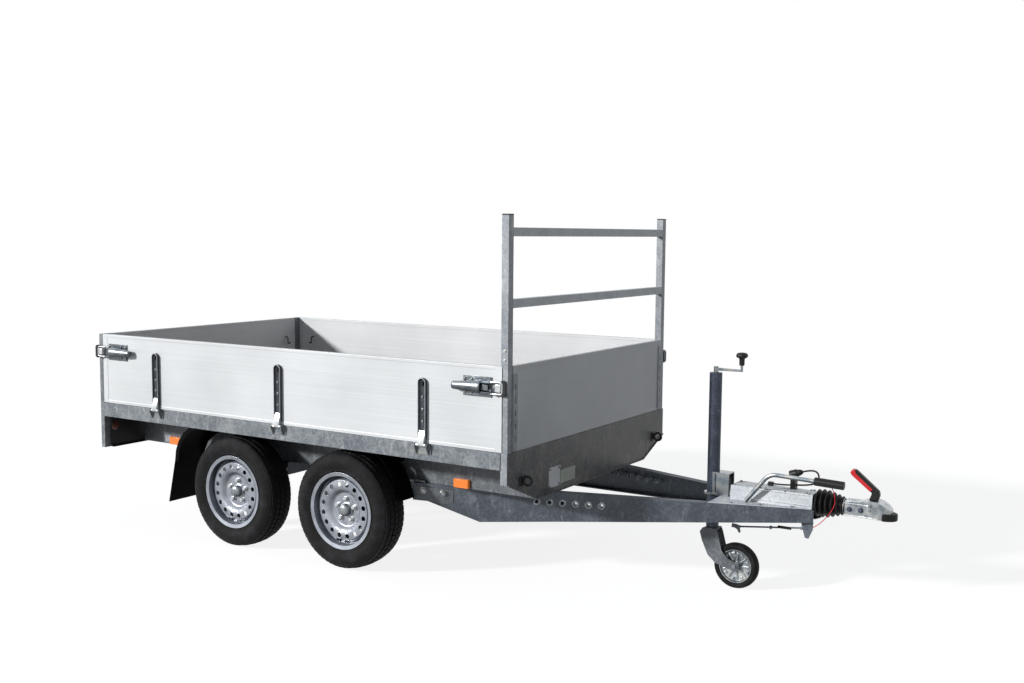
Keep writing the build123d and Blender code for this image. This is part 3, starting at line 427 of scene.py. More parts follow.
def meshOf(built, cleaned=True):
    if cleaned:
        bmesh.ops.remove_doubles(built, verts=built.verts, dist=weldGap)
        bmesh.ops.recalc_face_normals(built, faces=built.faces)
    mesh = bpy.data.meshes.new("drawn")
    built.to_mesh(mesh)
    built.free()
    return mesh


def upright(a, b, along, axis):
    # a drawing's point, at a distance along an axis
    spot = [a, b]
    spot.insert("XYZ".index(axis), along)
    return Vector(spot)


def skinned(built, rings, closed=True):
    for near, far in zip(rings, rings[1:]):
        for i in range(len(near) if closed else len(near) - 1):
            j = (i + 1) % len(near)
            built.faces.new((near[i], near[j], far[j], far[i]))


def solid(rings, first=1, last=-1):
    # a skin over rings of points, closed at both ends; first and last are the ways round its end faces
    built = bmesh.new()
    rings = [[built.verts.new(spot) for spot in ring] for ring in rings]
    skinned(built, rings)
    built.faces.new(rings[0][::first])
    built.faces.new(rings[-1][::last])
    return meshOf(built)


def lathe(profile, steps, axis="Y", middle=(0, 0, 0), closed=True):
    # turns a profile of (radius, distance along the axis), in millimetres
    built = bmesh.new()
    rings = []
    for step in range(steps):
        turn = 2 * math.pi * step / steps
        spots = [upright(radius * math.cos(turn), radius * math.sin(turn), along, axis) for radius, along in profile]
        rings.append([built.verts.new(Vector(middle) + spot / 1000) for spot in spots])
    skinned(built, rings + rings[:1], closed)
    return meshOf(built)


def extruded(outline, axis, start, end):
    # outline in metres: (y, z) along X, (x, z) along Y, (x, y) along Z
    return solid([[upright(a, b, along, axis) for a, b in outline] for along in (start, end)])


def oblong(left, right, bottom, top):
    return [(left, bottom), (right, bottom), (right, top), (left, top)]


def symmetric(half):
    # adds an outline's other half, mirrored in its second value
    return half + [(a, -b) for a, b in reversed(half) if b]


def joined(meshes):
    built = bmesh.new()
    for mesh in meshes:
        built.from_mesh(mesh)
    return meshOf(built, cleaned=False)


def moved(mesh, matrix):
    built = bmesh.new()
    built.from_mesh(mesh)
    bmesh.ops.transform(built, matrix=matrix, verts=built.verts)
    if matrix.determinant() < 0:
        bmesh.ops.reverse_faces(built, faces=built.faces)
    return meshOf(built, cleaned=False)


def spread(mesh, places):
    return joined([moved(mesh, there) for there in places])


def bothSides(mesh):
    return joined([mesh, moved(mesh, acrossMiddle)])


def plainMesh(holder):
    # the mesh of an object with its modifiers, which takes the object's place
    bpy.context.view_layer.update()
    made = bpy.data.meshes.new_from_object(holder.evaluated_get(bpy.context.evaluated_depsgraph_get()))
    bpy.data.objects.remove(holder)
    return made


def finished(mesh, bevel=0.0, segments=2, smoothAngle=38, levels=0, bevelAngle=32):
    # rolls the edges of a mesh, smooths and shades it
    holder = newObject("blank", mesh)
    if bevel:
        modifier = holder.modifiers.new("Edge", "BEVEL")
        modifier.width = bevel
        modifier.segments = segments
        modifier.limit_method = "ANGLE"
        modifier.angle_limit = math.radians(bevelAngle)
        modifier.use_clamp_overlap = True
    if levels:
        modifier = holder.modifiers.new("Smooth", "SUBSURF")
        modifier.levels = modifier.render_levels = levels
    mesh.shade_smooth()
    mesh.set_sharp_from_angle(angle=math.radians(smoothAngle))
    modifier = holder.modifiers.new("Normals", "WEIGHTED_NORMAL")
    modifier.keep_sharp = True
    return plainMesh(holder)


def addPiece(name, parts, slotName, body="chassis", material=None, replaced=(), **finish):
    # parts is a mesh or a list to join, and finish goes to finished()
    mesh = joined(parts) if isinstance(parts, list) else parts
    if finish:
        mesh = finished(mesh, **finish)
    mesh.name = name
    mesh.materials.clear()
    mesh.materials.append(materials[material or slotName])
    piece = newObject(name, mesh)
    if replaced:
        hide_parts(*replaced)
    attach(piece, body)


def softened(node, bevel, segments=2):
    # a copy of a CAD node, its flat faces joined and its edges rolled, which stands for the node
    built = bmesh.new()
    built.from_mesh(cadNodes[node].data)
    bmesh.ops.remove_doubles(built, verts=built.verts, dist=weldGap)
    bmesh.ops.dissolve_limit(built, angle_limit=math.radians(0.6), verts=built.verts, edges=built.edges)
    first, *others = node.split("_")
    title = first + "".join(word.capitalize() for word in others)
    addPiece(title, meshOf(built, cleaned=False), slotOf[node], bodyOf[node], dressOf.get(node), (node,),
             bevel=bevel, segments=segments)


# Geometry Nodes
def newTree(name, **inputs):
    tree = bpy.data.node_groups.new(name, "GeometryNodeTree")
    tree.interface.new_socket("Geometry", in_out="INPUT", socket_type="NodeSocketGeometry")
    for title, kind in inputs.items():
        tree.interface.new_socket(title.replace("_", " "), in_out="INPUT", socket_type="NodeSocket" + kind)
    tree.interface.new_socket("Geometry", in_out="OUTPUT", socket_type="NodeSocketGeometry")
    return tree, addNode(tree, "NodeGroupInput").outputs


def endTree(tree, instances, material):
    real = addNode(tree, "GeometryNodeRealizeInstances", Geometry=instances)
    painted = addNode(tree, "GeometryNodeSetMaterial", Geometry=real.outputs[0], Material=material)
    addNode(tree, "NodeGroupOutput", Geometry=painted.outputs[0])
    return tree


def attribute(tree, name, kind="FLOAT"):
    return addNode(tree, "GeometryNodeInputNamedAttribute", data_type=kind, Name=name).outputs["Attribute"]


def grown(tree, spots, attributes, values):
    # runs a tree on loose points that carry the attributes, and gives back a plain mesh
    mesh = bpy.data.meshes.new("points")
    mesh.from_pydata([tuple(spot) for spot in spots], [], [])
    for title, rows in attributes.items():
        isVector = isinstance(rows[0], (tuple, Vector))
        layer = mesh.attributes.new(title, "FLOAT_VECTOR" if isVector else "FLOAT", "POINT")
        for item, row in zip(layer.data, rows):
            setattr(item, "vector" if isVector else "value", row)
    holder = newObject("points", mesh)
    modifier = holder.modifiers.new("Build", "NODES")
    modifier.node_group = tree
    for item in tree.interface.items_tree:
        if item.item_type == "SOCKET" and item.in_out == "INPUT" and item.name in values:
            modifier[item.identifier] = values[item.name]
    return plainMesh(holder)


def makeFastenerTree():
    # hexagon heads on round washers, one at each point, turned to its facing
    tree, given = newTree("hexFasteners", Head_Radius="Float", Head_Height="Float", Sides="Int",
                          Washer_Radius="Float", Washer_Height="Float", Finish="Material")
    radius, height, thick = given["Head Radius"], given["Head Height"], given["Washer Height"]
    washer = addNode(tree, "GeometryNodeMeshCylinder", Vertices=20, Radius=given["Washer Radius"], Depth=thick)
    flats = addNode(tree, "GeometryNodeMeshCylinder", Vertices=given["Sides"], Radius=radius, Depth=height)
    crown = addNode(tree, "GeometryNodeMeshCone", Vertices=18, Radius_Top=maths("MULTIPLY", radius, 0.72),
                    Radius_Bottom=maths("MULTIPLY", radius, 0.99), Depth=maths("MULTIPLY", height, 0.25))
    whole = addNode(tree, "GeometryNodeJoinGeometry")
    for piece, rise in ((washer, maths("MULTIPLY", thick, 0.5)),
                        (flats, maths("MULTIPLY_ADD", height, 0.5, thick)),
                        (crown, maths("ADD", height, thick))):
        lifted = addNode(tree, "GeometryNodeTransform", Geometry=piece.outputs[0], Translation=xyz(Z=rise))
        tree.links.new(lifted.outputs[0], whole.inputs[0])
    facing = attribute(tree, "facing", "FLOAT_VECTOR")
    turn = addNode(tree, "FunctionNodeAlignRotationToVector", axis="Z", Vector=facing)
    stamped = addNode(tree, "GeometryNodeInstanceOnPoints", Points=given["Geometry"], Instance=whole.outputs[0],
                      Rotation=turn.outputs[0])
    return endTree(tree, stamped.outputs[0], given["Finish"])


def makeRingTree():
    # blocks set round a wheel: each point is a row, copied at equal turns about Y
    tree, given = newTree("blocksRoundTheWheel", Copies="Int", Finish="Material")
    copies = addNode(tree, "GeometryNodeDuplicateElements", domain="POINT", Geometry=given["Geometry"],
                     Amount=given["Copies"])
    turn = maths("ADD", copies.outputs["Duplicate Index"], attribute(tree, "lead"))
    turn = maths("MULTIPLY", turn, maths("DIVIDE", 2 * math.pi, given["Copies"]))
    reach = attribute(tree, "reach")
    across, up = [maths("MULTIPLY", maths(wave, turn), reach) for wave in ("COSINE", "SINE")]
    along = addNode(tree, "ShaderNodeSeparateXYZ", Vector=addNode(tree, "GeometryNodeInputPosition").outputs[0])
    spot = xyz(X=across, Y=along.outputs["Y"], Z=up)
    placed = addNode(tree, "GeometryNodeSetPosition", Geometry=copies.outputs[0], Position=spot)
    back = xyz(Y=maths("MULTIPLY", turn, -1.0))
    rotation = addNode(tree, "FunctionNodeEulerToRotation", Euler=back)
    block = addNode(tree, "GeometryNodeMeshCube")
    stamped = addNode(tree, "GeometryNodeInstanceOnPoints", Points=placed.outputs[0], Instance=block.outputs[0],
                      Rotation=rotation.outputs[0], Scale=attribute(tree, "size", "FLOAT_VECTOR"))
    return endTree(tree, stamped.outputs[0], given["Finish"])


fastenerTree = makeFastenerTree()
ringTree = makeRingTree()
boltSizes = {  # radius and height of the head, radius and height of the washer, in metres
    "small": (0.0055, 0.004, 0.0075, 0.0012),
    "medium": (0.0085, 0.0065, 0.012, 0.002),
    "wheel": (0.0108, 0.0125, 0.0135, 0.002),
    "large": (0.0125, 0.009, 0.017, 0.003),
}


def boltsOn(name, size, body, spots, slotName="bright_zinc", material=None, sides=6):
    # spots: (place in metres, facing)
    values = dict(zip(("Head Radius", "Head Height", "Washer Radius", "Washer Height"), boltSizes[size]),
                  Sides=sides, Finish=materials[material or slotName])
    mesh = grown(fastenerTree, [spot for spot, facing in spots], {"facing": [facing for spot, facing in spots]}, values)
    addPiece(name, mesh, slotName, body, material)


def seat(there, spot, way=1):
    # a bolt's place and facing on a piece drawn facing +Y, or -Y
    return there @ Vector(spot), (there.to_3x3() @ Vector((0, way, 0))).normalized()


def blocksRound(rows, count, material):
    # rows: distance along the axis, reach from it, lead in pitches, and size, in metres
    along, reach, lead, size = zip(*rows)
    values = {"Copies": count, "Finish": materials[material]}
    return grown(ringTree, [(0, y, 0) for y in along], {"reach": reach, "lead": lead, "size": size}, values)


dressing = {  # nodes whose finish is not their slot's plain one
    "galvanisedDull": ("drawbar_arms", "axle_tubes", "swing_arms", "brake_linkage"),
    "galvanisedShaded": ("main_beams", "cross_members", "jockey_fork"),
    "galvanisedPale": ("rack_posts",),
    "galvanisedRung": ("rack_rungs", "overrun_housing"),
    "panelSteel": ("front_panel",),
    "tubeSteel": ("jockey_tube", "jockey_leg"),
    "castZinc": ("coupling_head",),
    "guardPlastic": ("mudguards",),
    "darkPaint": ("lamp_board",),
}
dressOf = {node: finish for finish, members in dressing.items() for node in members}
for node, thing in cadNodes.items():
    thing.data.materials.clear()
    thing.data.materials.append(materials[dressOf.get(node, slotOf[node])])

rolledEdges = {  # bevel in metres: nodes
    0.001: ("deck_panel", "front_panel", "brake_linkage", "mudguards", "hinge_feet", "plug_holder"),
    0.0012: ("rear_posts", "rack_posts", "jockey_crank", "jockey_fork", "electric_plug"),
    0.0014: ("side_rails", "rear_sill", "jockey_clamp"),
    0.0015: ("cross_members",),
    0.0018: ("overrun_housing",),
    0.002: ("swing_arms",),
    0.0022: ("rack_rungs", "drawbar_arms"),
    0.0025: ("main_beams",),
    0.003: ("axle_tubes", "handbrake_grip"),
    0.005: ("coupling_handle",),
    0.007: ("coupling_head",),
}
for bevel, members in rolledEdges.items():
    for node in members:
        softened(node, bevel)
softened("side_markers", 0.003, segments=3)
print("stage: rolled edges")


# road wheels
wheels = {  # profiles and rows (distance from the middle, width, lead) in millimetres, the rest in metres
    "axles": {"Front": -0.987, "Rear": -1.74}, "middle": 0.7475, "radius": 0.298,
    "pitches": 62, "blockHeight": 0.009, "blockShare": 0.8, "crownDrop": 0.0125, "crownHalf": 70,
    "rows": [(-57.0, 23.0, 0.0), (-29.5, 21.0, 0.45), (0.0, 22.0, 0.2), (29.5, 21.0, 0.45), (57.0, 23.0, 0.0)],
    "wall": [
        (178.6, 67.5), (193, 67.8), (196.5, 70.6), (199, 73.8), (203, 76.8), (206.5, 77.9), (208.6, 77.2),
        (215, 80.4), (224, 83.8), (231, 85.6), (238, 86.6), (243, 86.9), (244.4, 86.3), (245.8, 86.8),
        (250, 86.5), (251.4, 85.8), (252.8, 86.2), (258, 85.2), (264, 83.2), (269.6, 80.4), (271, 79.1),
        (273, 78.7), (279, 75.4), (284, 71.4), (287, 67.0), (289.2, 62), (290.2, 45), (291, 22), (291.2, 0),
    ],
    "cap": [
        (0, -62.4), (12, -62.4), (13.5, -61.4), (20, -61.4), (25.5, -58.5), (29.6, -54), (31.6, -46), (32.2, -30),
        (35.5, -28.6), (35.8, -27.8), (0, -27.8),
    ],
    "valve": [(0, -8), (5.2, -7.6), (6.2, 0), (4.4, 4), (3.8, 22), (4.4, 22.6), (4.6, 32), (3.6, 33.5), (0, 33.8)],
    "valveAt": (-0.02, -0.052, -0.156), "valveTilt": 24, "bolts": 5, "boltCircle": 0.056, "boltOut": -0.028,
    "bevel": 0.0016,
}


def makeTyre(shape):
    profile = symmetric([(radius, -y) for radius, y in shape["wall"]])
    rows = []
    for across, width, ahead in shape["rows"]:
        top = shape["radius"] - 0.0005 - shape["crownDrop"] * (across / shape["crownHalf"]) ** 2
        long = 2 * math.pi * shape["radius"] / shape["pitches"] * shape["blockShare"]
        rows.append((across / 1000, top - shape["blockHeight"] / 2, ahead, (shape["blockHeight"], width / 1000, long)))
    return joined([finished(lathe(profile, 120), smoothAngle=24), blocksRound(rows, shape["pitches"], "tyre")])


def makeWheels(shape):
    tyre = makeTyre(shape)
    stem = lathe(shape["valve"], 18, closed=False)
    tilt = Matrix.Rotation(math.pi, 4, "Z") @ Matrix.Rotation(math.radians(shape["valveTilt"]), 4, "X")
    stemSpot = Matrix.Translation(shape["valveAt"]) @ tilt
    cap = finished(lathe(shape["cap"], 48, closed=False), smoothAngle=40)
    turns = [math.radians(90) + 2 * math.pi * index / shape["bolts"] for index in range(shape["bolts"])]
    circle = [(shape["boltCircle"] * math.cos(turn), shape["boltOut"], shape["boltCircle"] * math.sin(turn))
              for turn in turns]
    for end, x in shape["axles"].items():
        for side, way in (("Left", 1), ("Right", -1)):
            title, node = end + side, f"{end.lower()}_{side.lower()}"
            body = "wheel_" + node
            there = Matrix.Translation((frontWall + x, way * shape["middle"], shape["radius"]))
            there = there @ Matrix.Rotation(math.pi if way > 0 else 0, 4, "Z")
            addPiece("tyre" + title, moved(tyre, there), "tyre", body, replaced=("tyre_" + node,))
            softened("rim_" + node, shape["bevel"])
            addPiece("valve" + title, moved(stem, there @ stemSpot), "rubber", body, smoothAngle=40)
            addPiece("hubCap" + title, moved(cap, there), "bright_zinc", body)
            boltsOn("wheelBolts" + title, "wheel", body, [seat(there, spot, -1) for spot in circle],
                    material="polishedZinc")
            softened("hub_" + node, shape["bevel"])


makeWheels(wheels)
print("stage: road wheels")


# dropsides, front wall and tailgate: extruded planks between end profiles
boardShape = {
    "bottom": 0.697, "top": 1.09, "thickness": 0.025, "recess": 0.0012, "lip": 0.015, "endWidth": 0.037,
    "seams": (0.11, 0.205, 0.3), "groove": 0.00012, "backRecess": 0.0008, "corner": 0.002, "bevel": 0.0009,
}


def boardOutline(shape, outer, inner):
    # goes up the outer face and down the inner one; outer and inner are distances across the board
    way = 1 if outer > inner else -1
    bottom, top, lip, corner = shape["bottom"], shape["top"], shape["lip"], shape["corner"]
    deep, face, back = way * shape["groove"], outer - way * shape["recess"], inner + way * shape["backRecess"]
    seams = [bottom + seam for seam in shape["seams"]]
    points = [(outer, bottom), (outer, bottom + lip), (face, bottom + lip + 0.001)]
    for z in seams:
        points += [(face, z - 0.0016), (face - deep, z - 0.0006), (face - deep, z + 0.0006), (face, z + 0.0016)]
    points += [(face, top - lip - 0.001), (outer, top - lip), (outer, top - corner), (outer - way * corner, top)]
    points += [(inner + way * corner, top), (inner, top - corner), (inner, top - lip), (back, top - lip - 0.001)]
    for z in reversed(seams):
        points += [(back, z + 0.0014), (back + deep, z + 0.0005), (back + deep, z - 0.0005), (back, z - 0.0014)]
    return points + [(back, bottom + lip + 0.001), (inner, bottom + lip), (inner, bottom)]


def makeBoard(shape, axis, start, end, outer, inner):
    wide = shape["endWidth"]
    meshes = [extruded(boardOutline(shape, outer, inner), axis, start + wide, end - wide)]
    for a, b in ((start, start + wide), (end - wide, end)):
        corners = oblong(a, b, outer, inner)
        if axis == "Y":
            corners = [(x, y) for y, x in corners]
        meshes.append(extruded(corners, "Z", shape["bottom"] + 0.0005, shape["top"] - 0.0005))
    return finished(joined(meshes), shape["bevel"], smoothAngle=3)


def makeBoards(shape):
    low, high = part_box("side_panel_right")
    right = makeBoard(shape, "X", low[0], high[0], -sideFace, shape["thickness"] - sideFace)
    left = moved(right, acrossMiddle)
    addPiece("dropsideRight", right, "aluminium", "side_right", replaced=("side_panel_right",))
    addPiece("dropsideLeft", left, "aluminium", "side_left", replaced=("side_panel_left",))
    low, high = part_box("front_wall")
    wall = makeBoard(shape, "Y", low[1], high[1], high[0], low[0])
    addPiece("frontWallBoards", wall, "aluminium", material="aluminiumFront", replaced=("front_wall",))
    low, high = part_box("tailgate_panel")
    gate = makeBoard(shape, "Y", low[1], high[1], low[0], high[0])
    addPiece("tailgateBoards", gate, "aluminium", "tailgate", "aluminiumAcross", ("tailgate_panel",))


makeBoards(boardShape)
print("stage: boards")


# hinge straps: a pressed channel with a rolled rim, and a foot over the pin in brightened zinc, painted light where it
# faces the sun
strapShape = {
    "half": 0.0225, "top": 1.008, "bottom": 0.716, "pinHeight": 0.69, "pinOut": 0.015,
    "rings": [  # inset from the outline, height off the panel
        (0.0, 0.0003), (0.0, 0.013), (0.0008, 0.015), (0.002, 0.0156), (0.0034, 0.015), (0.0044, 0.013),
        (0.005, 0.008), (0.0062, 0.0052), (0.008, 0.0044),
    ],
    "foot": [(0.0046, 0.756), (0.0085, 0.758), (0.024, 0.702), (0.024, 0.69), (0.015, 0.686), (0.0046, 0.712)],
    "footInset": 0.0045, "barrel": [(3.3, -27), (8.2, -27), (9, -26), (9, 26), (8.2, 27), (3.3, 27)],
    "sideX": (-0.47, -1.388, -2.302), "gateY": (-0.43, 0.0, 0.43),
    "floor": 0.0044, "bolts": (0.8, 0.858, 0.916), "rivet": 0.98,
}
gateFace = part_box("tailgate_panel")[0][0]


def onPanels(left, gate):
    # body, title, hardware node and places; the right side mirrors the left
    return (("side_right", "Right", "side_hardware_right", [acrossMiddle @ there for there in left]),
            ("side_left", "Left", "side_hardware_left", left),
            ("tailgate", "Tailgate", "tailgate_hardware", gate))


def makeTray(shape):
    # drawn at x = 0 facing +Y, on the plane y = 0
    rings = []
    for inset, out in shape["rings"]:
        half, foot = shape["half"] - inset, shape["bottom"] + inset * 0.3
        turns = [math.pi * (1 - step / 16) for step in range(17)]
        arch = [(half * math.cos(turn), out, shape["top"] - shape["half"] + half * math.sin(turn)) for turn in turns]
        rings.append([(-half, out, foot), *arch, (half, out, foot)])
    return finished(solid(rings, -1, 1), smoothAngle=50)


def makeStraps(shape):
    width = shape["half"] - shape["footInset"]
    barrel = lathe(shape["barrel"], 28, "X", (0, shape["pinOut"], shape["pinHeight"]))
    tray = makeTray(shape)
    foot = finished(joined([extruded(shape["foot"], "X", -width, width), barrel]), 0.0012)
    left = [Matrix.Translation((frontWall + x, sideFace, 0)) for x in shape["sideX"]]
    gate = [Matrix.Translation((gateFace, y, 0)) @ quarterTurn for y in shape["gateY"]]
    for body, title, node, places in onPanels(left, gate):
        addPiece("straps" + title, spread(tray, places), "bright_zinc", body, "strapSteel", (node,))
        addPiece("strapFeet" + title, spread(foot, places), "bright_zinc", body, "polishedZinc", (node,))
        boltsOn("strapBolts" + title, "small", body,
                [seat(there, (0, shape["floor"], z)) for there in places for z in shape["bolts"]])
        boltsOn("strapRivets" + title, "medium", body,
                [seat(there, (0, shape["floor"], shape["rivet"])) for there in places], "black_plastic", sides=18)


makeStraps(strapShape)
print("stage: hinge straps")


# over-centre latches, drawn facing +Y with the hook towards +X, from the end of their base plate
latchShape = {
    "height": 0.992, "reach": 0.087, "handleOut": 0.0247, "handleSquash": 0.77,
    "handle": [
        (0, -199), (11.5, -199), (12.5, -201), (16.2, -200.5), (18.4, -197), (19.0, -190), (23.4, -130), (27.6, -66),
        (28.4, -52), (28.0, -46), (25.8, -43), (21.0, -43), (20.0, -48), (0, -48),
    ],
    "cheek": [(-0.092, 0.004), (0.028, 0.004), (0.03, 0.018), (0.012, 0.03), (-0.04, 0.033), (-0.092, 0.02)],
    "web": [(-0.05, 0.0245), (-0.006, 0.0235), (-0.006, 0.0275), (-0.05, 0.0285)],
    "cheeksAt": (-0.024, 0.0195), "cheekThick": 0.0045, "webHalf": 0.013,
    "plate": (-0.155, 0, -0.046, 0.046), "plateFaces": (0.0004, 0.004),
    "ribs": ((-0.15, -0.006, -0.04, -0.036), (-0.15, -0.006, 0.036, 0.04)), "ribFaces": (0.003, 0.0058),
    "hook": [(0.056, -0.032), (0.08, -0.032), (0.0866, -0.024)], "hookFaces": (0.0025, 0.01),
    "pin": [(0, -6), (4.2, -6), (4.6, -5), (4.6, 6), (0, 6)], "pinSpot": (0.02, 0.019), "pinsAt": (-0.028, 0.0275),
    "bar": 0.0044, "barOut": 0.0205, "loop": [(0.006, -0.027), (0.058, -0.027), (0.065, -0.024), (0.068, -0.017)],
    "tipOuter": [(0.062, 0.036), (0.078, 0.036), (0.0868, 0.026)],
    "tipInner": [(0.062, -0.032), (0.07, -0.0312), (0.0733, -0.0235)],
    "tipFaces": (0.009, 0.0262), "block": (0.03, 0.061, -0.018, 0.018), "blockFaces": (0.0026, 0.0255),
    "rivets": [(x, up) for x in (-0.146, -0.108, -0.01) for up in (0.03, -0.03)],
}


def pressed(shape, part):
    # an oblong or a half outline of the latch, between its faces
    drawing = shape[part]
    outline = symmetric(drawing) if isinstance(drawing, list) else oblong(*drawing)
    return extruded([(x, shape["height"] + up) for x, up in outline], "Y", *shape[part + "Faces"])


def makeLatch(shape):
    z = shape["height"]
    squash = Matrix.Translation((0, shape["handleOut"], z)) @ Matrix.Diagonal((1, shape["handleSquash"], 1, 1))
    grip = finished(moved(lathe(shape["handle"], 40, "X", closed=False), squash), smoothAngle=40)
    steel = [pressed(shape, "plate")]
    for left, right, low, high in shape["ribs"]:
        steel.append(extruded(oblong(left, right, z + low, z + high), "Y", *shape["ribFaces"]))
    for up in shape["cheeksAt"]:
        steel.append(extruded(shape["cheek"], "Z", z + up, z + up + shape["cheekThick"]))
    steel.append(extruded(shape["web"], "Z", z - shape["webHalf"], z + shape["webHalf"]))
    steel.append(pressed(shape, "hook"))
    pins = [lathe(shape["pin"], 16, "Z", (*shape["pinSpot"], z + up), closed=False) for up in shape["pinsAt"]]
    return joined([grip, finished(joined(steel), 0.0011), finished(joined(pins), smoothAngle=30)])


def makeBail(shape):
    # round-bar loop from the lever's pivot, drawn over the keeper block
    z, bar, out = shape["height"], shape["bar"], Vector((0, 1, 0))
    corners = symmetric(shape["loop"])
    turns = [2 * math.pi * step / 16 for step in range(16)]
    rings = []
    for index, (x, up) in enumerate(corners):
        before, after = corners[max(index - 1, 0)], corners[min(index + 1, len(corners) - 1)]
        side = Vector((after[0] - before[0], 0, after[1] - before[1])).normalized().cross(out)
        spot = Vector((x, shape["barOut"], z + up))
        rings.append([spot + bar * (math.cos(turn) * side + math.sin(turn) * out) for turn in turns])
    return joined([finished(solid(rings, 1, 1), smoothAngle=50), finished(pressed(shape, "block"), 0.003, 3)])


def makeTip(shape):
    # dark hook the loop is drawn over: a near-black piece that paints the shade at the latch's end
    corners = symmetric(shape["tipOuter"]) + symmetric(shape["tipInner"])
    return finished(extruded([(x, shape["height"] + up) for x, up in corners], "Y", *shape["tipFaces"]), 0.0012)


def makeLatches(shape):
    latch, bail, tip = makeLatch(shape), makeBail(shape), makeTip(shape)
    flip, reach = Matrix.Diagonal((-1, 1, 1, 1)), shape["reach"]
    (rear, *_), (front, *_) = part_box("side_hardware_right")
    (_, right, _), (_, leftEnd, _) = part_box("tailgate_hardware")
    left = [Matrix.Translation((front - reach, sideFace, 0)), Matrix.Translation((rear + reach, sideFace, 0)) @ flip]
    gate = [Matrix.Translation((gateFace, leftEnd - reach, 0)) @ quarterTurn,
            Matrix.Translation((gateFace, right + reach, 0)) @ quarterTurn @ flip]
    for body, title, node, places in onPanels(left, gate):
        addPiece("latches" + title, spread(latch, places), "bright_zinc", body, "latchZinc", (node,))
        addPiece("latchBails" + title, spread(bail, places), "bright_zinc", body, "polishedZinc")
        addPiece("latchTips" + title, spread(tip, places), "bright_zinc", body, "darkPaint")
        spots = [seat(there, (x, 0.004, shape["height"] + up)) for there in places for x, up in shape["rivets"]]
        boltsOn("latchScrews" + title, "small", body, spots, sides=16)


makeLatches(latchShape)
print("stage: latches")


# drawbar gaiter: folded rubber sleeve between two bands
gaiterShape = {
    "folds": [
        (26, 2), (29, 2), (31, 6), (46, 7), (60, 11), (63, 14.5), (62, 18), (51, 23), (48, 26), (50, 29), (63, 34),
        (65.5, 37.5), (64, 41), (52, 46), (48.5, 49), (50, 52), (61, 57), (63.5, 60.5), (62, 64), (50, 69), (45, 72),
        (46, 75), (55, 80), (57.5, 83.5), (56, 87), (45, 92), (40, 95), (41, 98), (49, 103), (51, 106), (49.5, 109),
        (41, 114), (36.5, 117), (38, 120), (43, 124), (44, 127), (41, 130.5), (34, 133), (32, 135), (35, 137),
        (30, 139), (26, 139),
    ],
    "bands": [[(31.5, 3), (32.6, 3), (32.6, 8), (31.5, 8)], [(33.6, 133), (36.2, 133.4), (36.2, 136.6), (33.4, 137)]],
    "start": (1150, 0, 467),
}


def makeGaiter(shape):
    start = place(*shape["start"])
    addPiece("drawbarGaiter", lathe(shape["folds"], 56, "X", start), "rubber", replaced=("drawbar_gaiter",),
             smoothAngle=70, levels=1)
    bands = [lathe(band, 48, "X", start) for band in shape["bands"]]
    addPiece("gaiterBands", bands, "bright_zinc", smoothAngle=30)


makeGaiter(gaiterShape)


# coupling: red catch let into the handle, rivets and pivot bolts on the head, its pressed lips and its bumper
couplingShape = {  # bolts and rivets: x, height and distance from the middle, in millimetres
    "insert": [(1398, 548), (1316.4, 612), (1306, 625), (1314.4, 641), (1329, 641), (1329.5, 633), (1336, 622),
               (1409, 562)],
    "insertHalf": 0.0156, "bolts": [(1314, 463, 33), (1364, 464, 35)], "rivets": [(1406, 470, 41), (1407, 490, 41)],
    "edge": [(1288, 33), (1370, 34), (1409, 41.5), (1440, 42)],
    "lips": [(4, 0.4325, 0.0055, 2.8), (3, 0.487, 0.004, 1.4)],  # points of the edge, height, lift, overhang
    "pad": {"rear": 1.459, "middle": 1.464, "long": 0.054, "half": 0.045, "bottom": 0.429, "top": 0.461},
}


def pairs(rows):
    # bolts on both flanks, from x, height and distance from the middle
    return [(place(x, way * across, z), (0, way, 0)) for x, z, across in rows for way in (-1, 1)]


def edged(edge, way, inner, outer):
    # outline of a strip along an edge of (x, distance from the middle)
    near = [(x, way * (across + inner)) for x, across in edge]
    return outlined(near + [(x, way * (across + outer)) for x, across in reversed(edge)])


def makeCoupling(shape):
    insert = extruded(outlined(shape["insert"]), "Y", -shape["insertHalf"], shape["insertHalf"])
    addPiece("handleInsert", insert, "red_plastic", bevel=0.003, segments=3)
    # the pivot bolts are in the dark tube steel: painted shade
    boltsOn("couplingBolts", "medium", "chassis", pairs(shape["bolts"]), material="tubeSteel")
    boltsOn("couplingRivets", "small", "chassis", pairs(shape["rivets"]), sides=16)
    lips = [extruded(edged(shape["edge"][:count], way, -2, grow), "Z", z, z + lift)
            for way in (-1, 1) for count, z, lift, grow in shape["lips"]]
    addPiece("couplingLips", lips, "bright_zinc", material="polishedZinc", bevel=0.0012, segments=3)
    pad = shape["pad"]
    turns = [math.radians(90 - step * 7.5) for step in range(25)]
    outline = [(frontWall + pad["rear"], -pad["half"]), (frontWall + pad["rear"], pad["half"])]
    outline += [(frontWall + pad["middle"] + pad["long"] * math.cos(turn), pad["half"] * math.sin(turn))
                for turn in turns]
    addPiece("couplingBumper", extruded(outline, "Z", pad["bottom"], pad["top"]), slotOf["coupling_nose"],
             replaced=("coupling_nose",), bevel=0.011, segments=5, bevelAngle=50)


makeCoupling(couplingShape)


